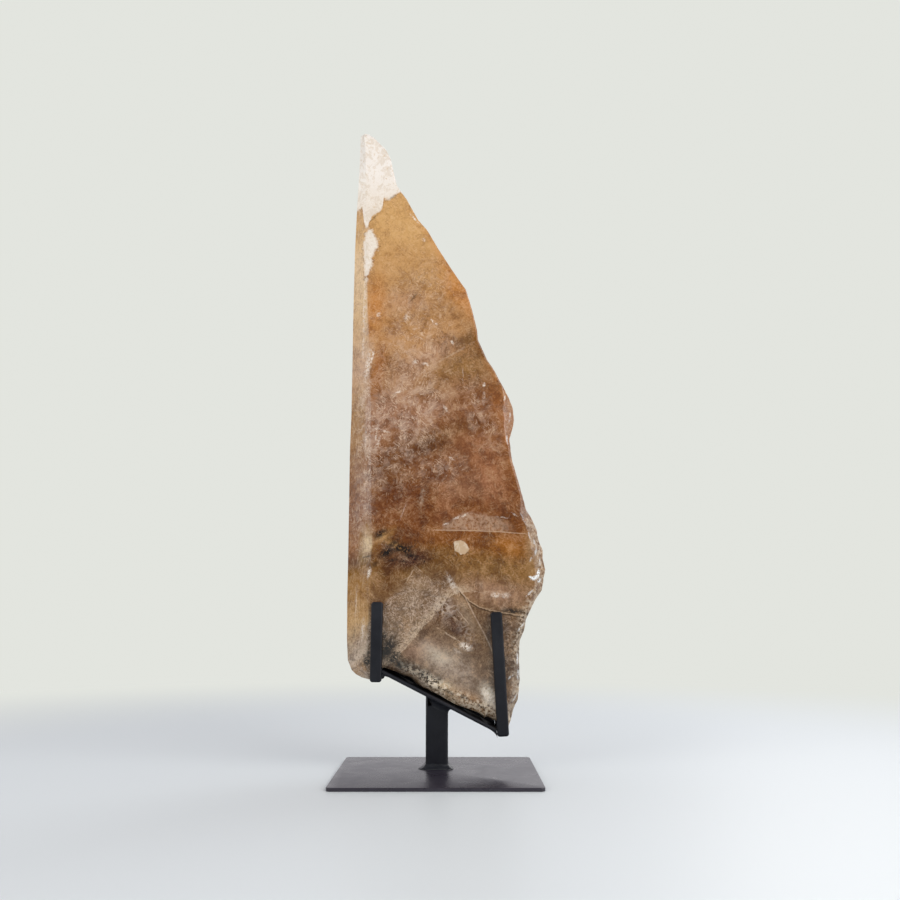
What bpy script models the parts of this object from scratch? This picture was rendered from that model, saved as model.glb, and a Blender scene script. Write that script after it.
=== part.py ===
"""Tall polished quartz slab held upright in a welded black iron stand.

Units are metres and +Z is up. The origin is the centre of the base plate's underside, +X runs
towards the lower end of the sloped cradle bar and -Y is the slab's polished front face.

The slab is one solid: rings of points run round its outline, from the border of the flat front
face over the front chamfer, the broken side wall and the back chamfer to the flat back face.
The stand is a base plate, a square tube post, a sloped angle bar that the slab rests on, four
prongs that keep it from tipping, and the weld beads between them.
"""
from itertools import product
import math

import bmesh
import bpy
from mathutils import Matrix, Vector
import numpy as np

MM = 0.001
GAP = 0.3 * MM

# Base plate and post
PLATE_WIDTH = 176.3 * MM
PLATE_DEPTH = 163.6 * MM
PLATE_THICKNESS = 3.0 * MM
PLATE_CORNER_RADIUS = 4.0 * MM
PLATE_MIDDLE = (0.2 * MM, -18.8 * MM)
PLATE_EDGE_CHAMFER = 0.35 * MM
POST_SIZE = 20.0 * MM
POST_WALL = 2.0 * MM
POST_CORNER_RADIUS = 2.0 * MM
POST_TOP = 69.0 * MM
# Triangular hole in the front wall beside the left one, as (x, z)
FRONT_NOTCH = ((-8.4 * MM, 58.0 * MM), (-4.4 * MM, 58.2 * MM), (-8.4 * MM, 64.6 * MM))

# Cradle bar: an angle bar whose shelf falls towards +X
BAR_HEIGHT_AT_POST = 65.6 * MM
BAR_FALL_PER_LENGTH = 0.5
BAR_THICKNESS = 3.4 * MM
BAR_FRONT = -22.0 * MM
BAR_UPSTAND_HEIGHT = 8.0 * MM
BAR_UPSTAND_THICKNESS = 3.0 * MM
BAR_EDGE_RADIUS = 1.2 * MM
BAR_INNER_RADIUS = 2.0 * MM

# Prongs: flat bars, given by the middle of the lower and the upper end as (x, z)
PRONG_WIDTH = 10.4 * MM
PRONG_THICKNESS = 6.0 * MM
PRONG_EDGE_RADIUS = 1.3 * MM
LEFT_PRONG = ((-54.5 * MM, 79.5 * MM), (-53.9 * MM, 150.2 * MM))
RIGHT_PRONG = ((58.9 * MM, 32.7 * MM), (53.4 * MM, 141.3 * MM))

# Weld beads
FOOT_WELD_WIDTH = 3.6 * MM
FOOT_WELD_HEIGHT = 4.6 * MM
# Where the foot weld spreads, as (x, y, extra width)
FOOT_WELD_FLARES = ((-10.0 * MM, -5.0 * MM, 4.0 * MM), (10.0 * MM, -5.0 * MM, 2.2 * MM))
FOOT_WELD_FLARE_REACH = 4.5 * MM
HEAD_WELD_REACH = 5.5 * MM
HEAD_WELD_DROP = 7.0 * MM
PRONG_WELD_REACH = 6.5 * MM
PRONG_WELD_DROP = 4.0 * MM

# Slab outline seen from the front, as (x, z) in millimetres
SLAB_THICKNESS = 35.0 * MM
TOP_EDGE = [(-62.9, 600.7), (-67.9, 604.3), (-71.8, 605.4), (-76.0, 602.7)]
LEFT_EDGE = [
    (-76.0, 602.7), (-76.6, 574.4), (-77.7, 548.4), (-78.8, 527.7), (-80.2, 487.1),
    (-81.1, 417.2), (-81.3, 368.1), (-81.6, 324.7), (-82.5, 291.3), (-82.6, 197.9),
    (-82.8, 152.1), (-82.3, 116.0), (-81.1, 98.1), (-77.2, 89.3),
]
BOTTOM_EDGE = [
    (-77.2, 89.3), (-73.5, 85.8), (-67.9, 83.0), (-60.5, 81.0), (-54.8, 82.4), (-52.0, 86.8),
    (-50.6, 91.2), (-47.4, 92.2), (-34.9, 87.7), (-23.3, 84.0), (-11.8, 74.1), (-0.8, 69.1),
    (16.3, 59.8), (29.8, 55.4), (38.7, 52.0), (44.1, 48.9), (45.0, 50.2), (53.9, 45.0),
    (62.7, 38.2),
]
RIGHT_EDGE = [
    (62.7, 38.2), (66.3, 46.1), (68.2, 54.8), (72.8, 63.5), (74.8, 81.0), (74.1, 98.6),
    (75.2, 116.3), (78.9, 125.2), (80.8, 134.1), (84.7, 143.1), (89.4, 152.1), (96.1, 161.2),
    (99.3, 179.4), (97.6, 188.6), (96.8, 197.7), (93.2, 207.0), (91.5, 216.2), (87.9, 225.4),
    (82.3, 234.6), (79.5, 243.7), (74.8, 262.0), (69.5, 280.7), (67.2, 300.5), (70.2, 310.4),
    (72.2, 320.0), (71.4, 329.6), (67.6, 339.0), (58.1, 357.2), (53.4, 366.7), (46.8, 376.4),
    (38.4, 395.9), (37.5, 405.7), (32.8, 425.4), (27.1, 445.3), (13.7, 465.2), (1.2, 485.4),
    (-10.4, 505.6), (-19.2, 515.8), (-30.0, 536.3), (-39.8, 550.7), (-42.9, 563.1),
    (-45.9, 577.7), (-50.9, 588.1), (-56.9, 594.4), (-62.9, 600.7),
]

# Rim of the slab in millimetres along each edge: place (z, or x on the bottom), inset of the
# front face, depth of the front chamfer, inset of the back face, roughness from 0 to 1
LEFT_RIM = [
    (89.0, 11.0, 9.0, 6.0, 0.0), (116.0, 19.3, 12.0, 7.0, 0.0), (206.0, 22.7, 13.0, 8.0, 0.0),
    (318.0, 19.7, 11.5, 7.0, 0.0), (387.0, 17.0, 10.0, 6.0, 0.0), (435.0, 13.6, 8.0, 5.0, 0.0),
    (495.0, 10.9, 6.5, 4.0, 0.0), (556.0, 7.5, 4.5, 3.0, 0.0), (603.0, 4.0, 3.0, 2.0, 0.0),
]
BOTTOM_RIM = [
    (-77.2, 11.0, 9.0, 6.0, 0.0), (-67.0, 7.5, 7.0, 5.0, 0.1), (-58.0, 5.0, 5.0, 4.0, 0.15),
    (-49.0, 3.0, 3.0, 3.0, 0.15), (-43.0, 3.0, 2.5, 3.0, 0.7), (-11.0, 4.0, 3.0, 3.0, 1.0),
    (0.0, 8.5, 5.0, 4.0, 1.0), (30.0, 10.5, 6.0, 5.0, 1.0), (44.0, 9.0, 5.0, 5.0, 1.0),
    (62.7, 5.0, 4.5, 4.0, 1.0),
]
RIGHT_RIM = [
    (38.2, 5.0, 4.5, 4.0, 1.0), (55.0, 8.0, 6.0, 5.0, 1.0), (81.0, 8.0, 5.0, 5.0, 1.0),
    (100.0, 4.0, 3.0, 4.0, 1.0), (143.0, 3.0, 2.5, 3.0, 1.0), (152.0, 5.0, 4.0, 4.0, 1.0),
    (165.0, 8.5, 6.0, 5.0, 1.0), (181.0, 10.5, 7.0, 5.0, 1.0), (202.0, 10.0, 7.0, 5.0, 1.0),
    (218.0, 8.0, 6.0, 4.0, 0.9), (237.0, 5.0, 4.0, 3.0, 0.7), (247.0, 2.0, 2.0, 3.0, 0.5),
    (293.0, 2.0, 2.0, 3.0, 0.5), (302.0, 4.5, 4.0, 3.0, 0.6), (312.0, 9.0, 6.0, 4.0, 0.7),
    (330.0, 10.5, 7.0, 4.0, 0.7), (341.0, 4.0, 3.0, 3.0, 0.5), (350.0, 1.5, 1.5, 3.0, 0.4),
    (444.0, 1.2, 1.2, 3.0, 0.3), (601.0, 1.2, 1.2, 2.0, 0.2),
]
EDGE_ROUGHNESS = 0.8
EDGE_GRAIN = 9.0
CHIP_SIZE = 21.0
CHIP_DEPTH = 3.6
WALL_TAPER = 3.0
BOTTOM_BULGE = 2.4
REST_CLEARANCE = 0.4
NORMAL_BLUR = 5.0
EDGE_STEPS = {"left": 44, "bottom": 58, "right": 116, "top": 5}
WALL_STEPS = 6

# Colour (linear), roughness and metallic value
QUARTZ = ((0.42, 0.23, 0.10), 0.12, 0.0)
PLATE_IRON = ((0.060, 0.058, 0.060), 0.38, 0.0)
BLACK_IRON = ((0.020, 0.022, 0.026), 0.45, 0.0)
WELD_IRON = ((0.045, 0.047, 0.052), 0.35, 0.0)


def clear_scene():
    for thing in list(bpy.data.objects):
        bpy.data.objects.remove(thing, do_unlink=True)


def finish(thing, look):
    """Give the object a material of its own with the look's colour, roughness and metal."""
    colour, roughness, metallic = look
    material = bpy.data.materials.new(thing.name + "_material")
    material.use_nodes = True
    shader = material.node_tree.nodes["Principled BSDF"]
    shader.inputs["Base Color"].default_value = (*colour, 1.0)
    shader.inputs["Roughness"].default_value = roughness
    shader.inputs["Metallic"].default_value = metallic
    thing.data.materials.append(material)
    return thing


def add_object(name, mesh):
    thing = bpy.data.objects.new(name, mesh)
    bpy.context.scene.collection.objects.link(thing)
    return thing


def object_from_points(name, points, faces):
    mesh = bpy.data.meshes.new(name)
    mesh.from_pydata([tuple(float(value) for value in point) for point in points], [], faces)
    mesh.validate()
    return add_object(name, mesh)


def object_from_bmesh(name, shape):
    mesh = bpy.data.meshes.new(name)
    bmesh.ops.recalc_face_normals(shape, faces=shape.faces)
    shape.to_mesh(mesh)
    shape.free()
    return add_object(name, mesh)


def shelf_top(x):
    """Height of the cradle bar's shelf above the base at the place x."""
    return BAR_HEIGHT_AT_POST - BAR_FALL_PER_LENGTH * x


def shelf_underside(x):
    return shelf_top(x) - BAR_THICKNESS


# ---------------------------------------------------------------- noise for broken stone

def cell_values(cells):
    """A repeatable value from -1 to 1 for each whole-numbered cell."""
    mixed = np.sin(cells @ np.array([127.1, 311.7, 74.7])) * 43758.5453
    return 2.0 * (mixed - np.floor(mixed)) - 1.0


def smooth_noise(points):
    """Cell values blended between the eight corners round each point."""
    base = np.floor(points)
    part = points - base
    part = part * part * (3.0 - 2.0 * part)
    total = np.zeros(points.shape[:-1])
    for corner in product((0, 1), repeat=3):
        weight = np.prod(np.where(corner, part, 1.0 - part), axis=-1)
        total += weight * cell_values(base + np.array(corner))
    return total


def chip_hollows(points):
    """Shell-shaped chips: 1 in the middle of a chip, falling to 0 on the ridges between chips."""
    base = np.floor(points)
    nearest = np.full(points.shape[:-1], 4.0)
    for step in product((-1, 0, 1), repeat=3):
        cell = base + np.array(step)
        jitter = np.stack([cell_values(cell + shift) for shift in (0.2, 17.3, 41.9)], axis=-1)
        apart = points - (cell + 0.5 + 0.4 * jitter)
        nearest = np.minimum(nearest, (apart ** 2).sum(axis=-1))
    return np.clip(1.0 - 2.4 * nearest, 0.0, 1.0)


# ---------------------------------------------------------------- slab

def along_line(points, count):
    """Evenly spaced points along a line of straight stretches, both ends included."""
    points = np.array(points)
    lengths = np.hypot(*np.diff(points, axis=0).T)
    travelled = np.concatenate([[0.0], np.cumsum(lengths)])
    steps = np.linspace(0.0, travelled[-1], count)
    return np.column_stack([np.interp(steps, travelled, column) for column in points.T])


def rim_values(table, places):
    """The four rim values of a table, read off at the given places."""
    table = np.array(sorted(table))
    return np.column_stack([np.interp(places, table[:, 0], column) for column in table[:, 1:].T])


def slab_outline():
    """Closed outline with its rim values: down the left, along the bottom, up the right."""
    left = along_line(LEFT_EDGE, EDGE_STEPS["left"])[:-1]
    bottom = along_line(BOTTOM_EDGE, EDGE_STEPS["bottom"])[:-1]
    right = along_line(RIGHT_EDGE, EDGE_STEPS["right"])[:-1]
    top = along_line(TOP_EDGE, EDGE_STEPS["top"])[:-1]
    across = np.linspace(0.0, 1.0, len(top))[:, None]
    top_rim = (1.0 - across) * rim_values(RIGHT_RIM, [601.0])
    top_rim = top_rim + across * rim_values(LEFT_RIM, [603.0])
    rim = np.vstack([
        rim_values(LEFT_RIM, left[:, 1]),
        rim_values(BOTTOM_RIM, bottom[:, 0]),
        rim_values(RIGHT_RIM, right[:, 1]),
        top_rim,
    ])
    return np.vstack([left, bottom, right, top]), rim


def inward_directions(outline):
    """Unit vectors into the stone, blurred along the outline so that insets never cross."""
    forward = np.roll(outline, -1, axis=0) - np.roll(outline, 1, axis=0)
    inward = np.column_stack([-forward[:, 1], forward[:, 0]])
    inward /= np.linalg.norm(inward, axis=1, keepdims=True)
    stretch = np.linalg.norm(np.roll(outline, -1, axis=0) - outline, axis=1)
    place = np.cumsum(stretch) - stretch
    apart = np.abs(place[:, None] - place[None, :])
    apart = np.minimum(apart, stretch.sum() - apart)
    weight = np.exp(-0.5 * (apart / NORMAL_BLUR) ** 2) * stretch[None, :]
    blurred = weight @ inward
    return blurred / np.linalg.norm(blurred, axis=1, keepdims=True)


def slab_rings():
    """Points of every ring from the front face's border to the back face's, in millimetres."""
    outline, rim = slab_outline()
    inward = inward_directions(outline)
    front_inset, front_depth, back_inset, rough = rim.T
    half = SLAB_THICKNESS / MM / 2.0
    back_depth = 0.7 * back_inset
    facing_down = np.clip(inward[:, 1], 0.0, 1.0) * (rough > 0.5)
    facing_right = np.clip(-inward[:, 0], 0.0, 1.0) * (rough > 0.25)
    flat = np.zeros_like(rough)
    levels = [(0.4, 0.0, front_inset, flat - half)]
    levels.append((0.6, 0.3, 0.42 * front_inset, 0.42 * front_depth - half))
    for step in range(WALL_STEPS + 1):
        share = step / WALL_STEPS
        depth = (1.0 - share) * (front_depth - half) + share * (half - back_depth)
        hump = math.sin(math.pi * share)
        inset = WALL_TAPER * share * facing_right - BOTTOM_BULGE * hump * facing_down
        levels.append((0.5 + 0.5 * hump, min(1.0, 3.0 * share), inset, depth))
    levels.append((0.6, 0.3, WALL_TAPER * facing_right + back_inset, flat + half))
    rings = []
    for looseness, chipping, inset, depth in levels:
        middle = np.column_stack([outline[:, 0], depth, outline[:, 1]])
        ragged = EDGE_ROUGHNESS * looseness * smooth_noise(middle / EDGE_GRAIN)
        chipped = CHIP_DEPTH * chipping * chip_hollows(middle / CHIP_SIZE)
        offset = inset + rough * (ragged + chipped)
        place = outline + inward * offset[:, None]
        over_shelf = np.abs(place[:, 0] - 2.0) < 52.0
        rest = shelf_top(place[:, 0] * MM) / MM + REST_CLEARANCE
        height = np.where(over_shelf, np.maximum(place[:, 1], rest), place[:, 1])
        rings.append(np.column_stack([place[:, 0], depth, height]))
    return rings


def build_slab():
    rings = slab_rings()
    count = len(rings[0])
    last = len(rings) - 1
    faces = [tuple(range(count)), tuple(reversed(range(last * count, (last + 1) * count)))]
    for ring, step in product(range(last), range(count)):
        here = ring * count + step
        after = ring * count + (step + 1) % count
        faces.append((here, here + count, after + count, after))
    return finish(object_from_points("slab", np.vstack(rings) * MM, faces), QUARTZ)


# ---------------------------------------------------------------- stand

def rounded_square(half, radius, steps=4):
    """Corner arcs of a square with rounded corners, counter-clockwise as (x, y)."""
    points = []
    for quarter in range(4):
        middle = Matrix.Rotation(quarter * math.pi / 2.0, 2) @ Vector((half - radius,) * 2)
        for step in range(steps):
            angle = (quarter + step / (steps - 1)) * math.pi / 2.0
            points.append((middle.x + radius * math.cos(angle), middle.y + radius * math.sin(angle)))
    return points


def build_base_plate():
    shape = bmesh.new()
    size = Matrix.Diagonal((PLATE_WIDTH, PLATE_DEPTH, PLATE_THICKNESS, 1.0))
    lift = Matrix.Translation((*PLATE_MIDDLE, PLATE_THICKNESS / 2.0))
    bmesh.ops.create_cube(shape, size=1.0, matrix=lift @ size)
    upright = [edge for edge in shape.edges if abs(edge.verts[0].co.z - edge.verts[1].co.z) > GAP]
    bmesh.ops.bevel(shape, geom=upright, offset=PLATE_CORNER_RADIUS, segments=3, profile=0.5,
                    affect="EDGES")
    plate = object_from_bmesh("base_plate", shape)
    chamfer = plate.modifiers.new("edge_chamfer", "BEVEL")
    chamfer.width = PLATE_EDGE_CHAMFER
    chamfer.segments = 1
    chamfer.limit_method = "ANGLE"
    return finish(plate, PLATE_IRON)


def build_cutter(name, outline, near, far):
    """Prism with the (x, z) outline, from one depth to another, that the post makes room for."""
    shape = bmesh.new()
    front = [shape.verts.new((x, near, z)) for x, z in outline]
    back = [shape.verts.new((x, far, z)) for x, z in outline]
    shape.faces.new(front)
    shape.faces.new(back[::-1])
    for index in range(len(outline)):
        before = index - 1
        shape.faces.new((front[before], back[before], back[index], front[index]))
    cutter = object_from_bmesh(name, shape)
    cutter.hide_render = True
    cutter.display_type = "WIRE"
    return cutter


def build_post():
    """Square tube, cut to the slope of the cradle bar, with a small notch in its front wall."""
    base = PLATE_THICKNESS + GAP
    outer = rounded_square(POST_SIZE / 2.0, POST_CORNER_RADIUS)
    inner = rounded_square(POST_SIZE / 2.0 - POST_WALL, POST_CORNER_RADIUS / 3.0)
    count = len(outer)
    points = []
    for height in (base, POST_TOP):
        points += [(x, y, height) for x, y in outer]
        points += [(x, y, height) for x, y in inner]
    faces = []
    for step in range(count):
        after = (step + 1) % count
        outer_low, outer_low_after = step, after
        inner_low, inner_low_after = count + step, count + after
        top = 2 * count
        faces.append((outer_low, outer_low_after, outer_low_after + top, outer_low + top))
        faces.append((inner_low_after, inner_low, inner_low + top, inner_low_after + top))
        faces.append((outer_low_after, outer_low, inner_low, inner_low_after))
        faces.append((outer_low + top, outer_low_after + top, inner_low_after + top, inner_low + top))
    post = object_from_points("post", points, faces)
    reach = POST_SIZE * 1.5
    above_bar = [(-reach, shelf_underside(-reach) - GAP), (reach, shelf_underside(reach) - GAP),
                 (reach, reach * 4.0), (-reach, reach * 4.0)]
    inside_wall = POST_WALL - POST_SIZE / 2.0 + GAP
    cutters = (build_cutter("bar_cutter", above_bar, -reach, reach),
               build_cutter("notch_cutter", FRONT_NOTCH, -reach, inside_wall))
    for cutter in cutters:
        cut = post.modifiers.new(cutter.name, "BOOLEAN")
        cut.operation = "DIFFERENCE"
        cut.solver = "EXACT"
        cut.object = cutter
    return finish(post, BLACK_IRON)


def arc(middle, radius, start, end, steps=4):
    """Points of an arc in the (y, height) plane, angles in degrees."""
    points = []
    for step in range(steps):
        angle = math.radians(start + (end - start) * step / (steps - 1))
        points.append((middle[0] + radius * math.cos(angle), middle[1] + radius * math.sin(angle)))
    return points


def bar_profile():
    """Angle bar section as (y, height over the shelf's top), counter-clockwise from the front."""
    upstand_back = SLAB_THICKNESS / 2.0 + GAP + BAR_UPSTAND_THICKNESS
    upstand_front = upstand_back - BAR_UPSTAND_THICKNESS
    edge = BAR_EDGE_RADIUS
    fillet = BAR_INNER_RADIUS
    return (
        arc((BAR_FRONT + edge, -BAR_THICKNESS + edge), edge, 180, 270)
        + arc((upstand_back - edge, -BAR_THICKNESS + edge), edge, 270, 360)
        + arc((upstand_back - edge, BAR_UPSTAND_HEIGHT - edge), edge, 0, 90, 3)
        + [(upstand_front, BAR_UPSTAND_HEIGHT)]
        + arc((upstand_front - fillet, fillet), fillet, 0, -90)
        + arc((BAR_FRONT + edge, -edge), edge, 90, 180)
    )


def prong_side(prong, height, side):
    """Place in x of a prong's side face at a height; side is -1 or 1."""
    (low_x, low_z), (high_x, high_z) = prong
    lean = (high_x - low_x) / (high_z - low_z)
    return low_x + lean * (height - low_z) + side * PRONG_WIDTH / 2.0 * math.hypot(1.0, lean)


def build_cradle_bar():
    """The angle section drawn along the slope, each end cut to lie along its prong's side."""
    profile = bar_profile()
    count = len(profile)
    points = []
    for prong, side in ((LEFT_PRONG, 1), (RIGHT_PRONG, -1)):
        for depth, rise in profile:
            x = prong_side(prong, shelf_top(prong[0][0]) + rise, side)
            x = prong_side(prong, shelf_top(x) + rise, side) + side * GAP
            points.append((x, depth, shelf_top(x) + rise))
    faces = [tuple(range(count)), tuple(reversed(range(count, 2 * count)))]
    for step in range(count):
        after = (step + 1) % count
        faces.append((step, count + step, count + after, after))
    shape = bmesh.new()
    corners = [shape.verts.new(point) for point in points]
    for face in faces:
        shape.faces.new([corners[index] for index in face])
    return finish(object_from_bmesh("cradle_bar", shape), BLACK_IRON)


def build_prong(name, prong, facing):
    """Flat bar with rounded edges against the slab's front (facing -1) or back (facing 1)."""
    (low_x, low_z), (high_x, high_z) = prong
    length = math.hypot(high_x - low_x, high_z - low_z)
    shape = bmesh.new()
    size = Matrix.Diagonal((PRONG_WIDTH, PRONG_THICKNESS, length, 1.0))
    bmesh.ops.create_cube(shape, size=1.0, matrix=size)
    bmesh.ops.bevel(shape, geom=shape.edges[:], offset=PRONG_EDGE_RADIUS, segments=3,
                    profile=0.5, affect="EDGES")
    lean = Matrix.Rotation(math.atan2(high_x - low_x, high_z - low_z), 4, "Y")
    away = SLAB_THICKNESS / 2.0 + GAP + PRONG_THICKNESS / 2.0
    middle = ((low_x + high_x) / 2.0, facing * away, (low_z + high_z) / 2.0)
    bmesh.ops.transform(shape, matrix=Matrix.Translation(middle) @ lean, verts=shape.verts)
    thing = object_from_bmesh(name, shape)
    thing.data.shade_smooth()
    thing.data.set_sharp_from_angle(angle=math.radians(40.0))
    return finish(thing, BLACK_IRON)


def swept_bead(name, sections, closed):
    """A weld bead from its sections, each a list of (x, y, z) in the same order."""
    count = len(sections[0])
    turns = len(sections) if closed else len(sections) - 1
    shape = bmesh.new()
    corners = [[shape.verts.new(point) for point in section] for section in sections]
    for turn, step in product(range(turns), range(count)):
        here, there = corners[turn], corners[(turn + 1) % len(corners)]
        after = (step + 1) % count
        shape.faces.new((here[step], there[step], there[after], here[after]))
    if not closed:
        shape.faces.new(corners[0])
        shape.faces.new(corners[-1])
    bead = object_from_bmesh(name, shape)
    bead.data.shade_smooth()
    bead.data.set_sharp_from_angle(angle=math.radians(50.0))
    return finish(bead, WELD_IRON)


def ripple(x, y, z, size):
    """Lumpiness of a hand-laid bead, from -1 to 1."""
    return float(smooth_noise(np.array([[x, y, z]]) / size)[0])


def build_foot_weld():
    """Bead round the post's foot, spread in thin flares at its left and right sides."""
    corners = rounded_square(POST_SIZE / 2.0 + GAP, POST_CORNER_RADIUS + GAP, steps=6)
    path = []
    for index, (x, y) in enumerate(corners):
        path.append((x, y))
        after_x, after_y = corners[(index + 1) % len(corners)]
        if math.hypot(after_x - x, after_y - y) > POST_CORNER_RADIUS:
            path += [(x + (after_x - x) * share, y + (after_y - y) * share)
                     for share in (0.2, 0.4, 0.6, 0.8)]
    base = PLATE_THICKNESS + GAP
    sections = []
    for x, y in path:
        out = Vector((x, y)).normalized()
        lump = ripple(x, y, 0.0, 3.5 * MM)
        width = FOOT_WELD_WIDTH * (1.0 + 0.25 * lump)
        for flare_x, flare_y, extra in FOOT_WELD_FLARES:
            apart = math.hypot(x - flare_x, y - flare_y) / FOOT_WELD_FLARE_REACH
            width += extra * math.exp(-apart ** 2)
        height = FOOT_WELD_HEIGHT * (1.0 + 0.2 * lump)
        shares = ((0.0, 0.0), (1.0, 0.0), (0.92, 0.16), (0.5, 0.42), (0.2, 0.72), (0.0, 1.0))
        section = []
        for reach, rise in shares:
            place = Vector((x, y)) + out * (width * reach)
            section.append((place.x, place.y, base + height * rise))
        sections.append(section)
    return swept_bead("foot_weld", sections, closed=True)


def build_head_weld():
    """Bead under the cradle bar, along the post's front face and round its right corner."""
    half = POST_SIZE / 2.0 + GAP
    path = [(x * MM, -half, 0.0, -1.0) for x in (-4.0, -1.0, 2.0, 4.5, 7.0)]
    radius = POST_CORNER_RADIUS + GAP
    for degrees in (-80.0, -60.0, -40.0, -20.0, 0.0):
        turn = math.radians(degrees)
        middle = half - radius
        path.append((middle + radius * math.cos(turn), -middle + radius * math.sin(turn),
                     math.cos(turn), math.sin(turn)))
    path += [(half, y * MM, 1.0, 0.0) for y in (-5.0, -2.0, 1.0, 4.0)]
    sections = []
    for x, y, out_x, out_y in path:
        lump = ripple(x, y, 0.0, 3.0 * MM)
        reach = HEAD_WELD_REACH * (1.0 + 0.15 * lump)
        drop = HEAD_WELD_DROP * (1.0 + 0.15 * lump)
        section = []
        for out, down in ((0.0, 0.0), (1.0, 0.0), (0.62, 0.22), (0.3, 0.52), (0.0, 1.0)):
            place_x = x + out_x * reach * out
            place_y = y + out_y * reach * out
            section.append((place_x, place_y, shelf_underside(place_x) - GAP - drop * down))
        sections.append(section)
    return swept_bead("head_weld", sections, closed=False)


def build_prong_weld(name, prong, side, facing):
    """Small bead in the corner between a prong's side and the cradle bar's underside."""
    sections = []
    start = SLAB_THICKNESS / 2.0 + 0.8 * MM
    for step in range(4):
        depth = facing * (start + step * 0.9 * MM)
        corner_x = prong_side(prong, shelf_underside(prong[0][0]), side) + side * 2.0 * GAP
        lump = ripple(corner_x, depth, 0.0, 2.0 * MM)
        section = []
        for out, down in ((0.0, 0.0), (1.0, 0.0), (0.5, 0.28), (0.2, 0.6), (0.0, 1.0)):
            x = corner_x + side * PRONG_WELD_REACH * (1.0 + 0.12 * lump) * out
            height = shelf_underside(x) - GAP - PRONG_WELD_DROP * (1.0 + 0.12 * lump) * down
            section.append((x, depth, height))
        sections.append(section)
    return swept_bead(name, sections, closed=False)


def build_stand():
    build_base_plate()
    build_post()
    build_cradle_bar()
    build_foot_weld()
    build_head_weld()
    for end, prong, side in (("left", LEFT_PRONG, 1), ("right", RIGHT_PRONG, -1)):
        for place, facing in (("front", -1), ("rear", 1)):
            build_prong(f"{end}_{place}_prong", prong, facing)
            build_prong_weld(f"{end}_{place}_weld", prong, side, facing)


clear_scene()
build_slab()
build_stand()
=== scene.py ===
"""Polished quartz slab in a welded black iron stand: the finished surfaces and the studio.

Lengths in the named values are millimetres, measured from below the post's middle, level
with the base plate's underside: x to the right, y away from the slab's polished front, z up.
Meshes are in metres.
"""
from functools import partial
from itertools import product
from types import SimpleNamespace
import math

import bpy
import numpy as np
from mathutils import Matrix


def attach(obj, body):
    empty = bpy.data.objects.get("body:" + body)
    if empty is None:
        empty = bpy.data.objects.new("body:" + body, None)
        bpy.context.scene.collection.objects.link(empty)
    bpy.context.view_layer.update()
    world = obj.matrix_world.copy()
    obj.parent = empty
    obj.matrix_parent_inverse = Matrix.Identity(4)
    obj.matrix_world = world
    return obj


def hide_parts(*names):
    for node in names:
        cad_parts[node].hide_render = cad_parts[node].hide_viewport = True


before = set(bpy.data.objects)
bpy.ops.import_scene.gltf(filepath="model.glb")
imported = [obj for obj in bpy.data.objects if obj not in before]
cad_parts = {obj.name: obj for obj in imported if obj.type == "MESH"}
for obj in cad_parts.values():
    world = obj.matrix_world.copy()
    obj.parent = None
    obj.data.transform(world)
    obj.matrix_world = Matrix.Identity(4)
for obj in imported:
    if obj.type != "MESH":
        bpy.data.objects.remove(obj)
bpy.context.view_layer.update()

MM = 0.001
GAP = 0.3
WELD_GAP = 0.05

# ---------------------------------------------------------------- sizes of the slab
SLAB_THICKNESS = 35.0
TOP_EDGE = [(-62.9, 600.7), (-67.9, 604.3), (-71.8, 605.4), (-76.0, 602.7)]
LEFT_EDGE = [
    (-76.0, 602.7), (-76.6, 574.4), (-77.7, 548.4), (-78.8, 527.7), (-80.2, 487.1),
    (-81.1, 417.2), (-81.3, 368.1), (-81.6, 324.7), (-82.5, 291.3), (-82.6, 197.9),
    (-82.8, 152.1), (-82.3, 116.0), (-81.1, 98.1), (-77.2, 89.3),
]
BOTTOM_EDGE = [
    (-77.2, 89.3), (-73.5, 85.8), (-67.9, 83.0), (-60.5, 81.0), (-54.8, 82.4), (-52.0, 86.8),
    (-50.6, 91.2), (-47.4, 92.2), (-34.9, 87.7), (-23.3, 84.0), (-11.8, 74.1), (-0.8, 69.1),
    (16.3, 59.8), (29.8, 55.4), (38.7, 52.0), (44.1, 48.9), (45.0, 50.2), (53.9, 45.0),
    (62.7, 38.2),
]
RIGHT_EDGE = [
    (62.7, 38.2), (66.3, 46.1), (68.2, 54.8), (72.8, 63.5), (74.8, 81.0), (74.1, 98.6),
    (75.2, 116.3), (78.9, 125.2), (80.8, 134.1), (84.7, 143.1), (89.4, 152.1), (96.1, 161.2),
    (99.3, 179.4), (97.6, 188.6), (96.8, 197.7), (93.2, 207.0), (91.5, 216.2), (87.9, 225.4),
    (82.3, 234.6), (79.5, 243.7), (74.8, 262.0), (69.5, 280.7), (67.2, 300.5), (70.2, 310.4),
    (72.2, 320.0), (71.4, 329.6), (67.6, 339.0), (58.1, 357.2), (53.4, 366.7), (46.8, 376.4),
    (38.4, 395.9), (37.5, 405.7), (32.8, 425.4), (27.1, 445.3), (13.7, 465.2), (1.2, 485.4),
    (-10.4, 505.6), (-19.2, 515.8), (-30.0, 536.3), (-39.8, 550.7), (-42.9, 563.1),
    (-45.9, 577.7), (-50.9, 588.1), (-56.9, 594.4), (-62.9, 600.7),
]
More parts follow.
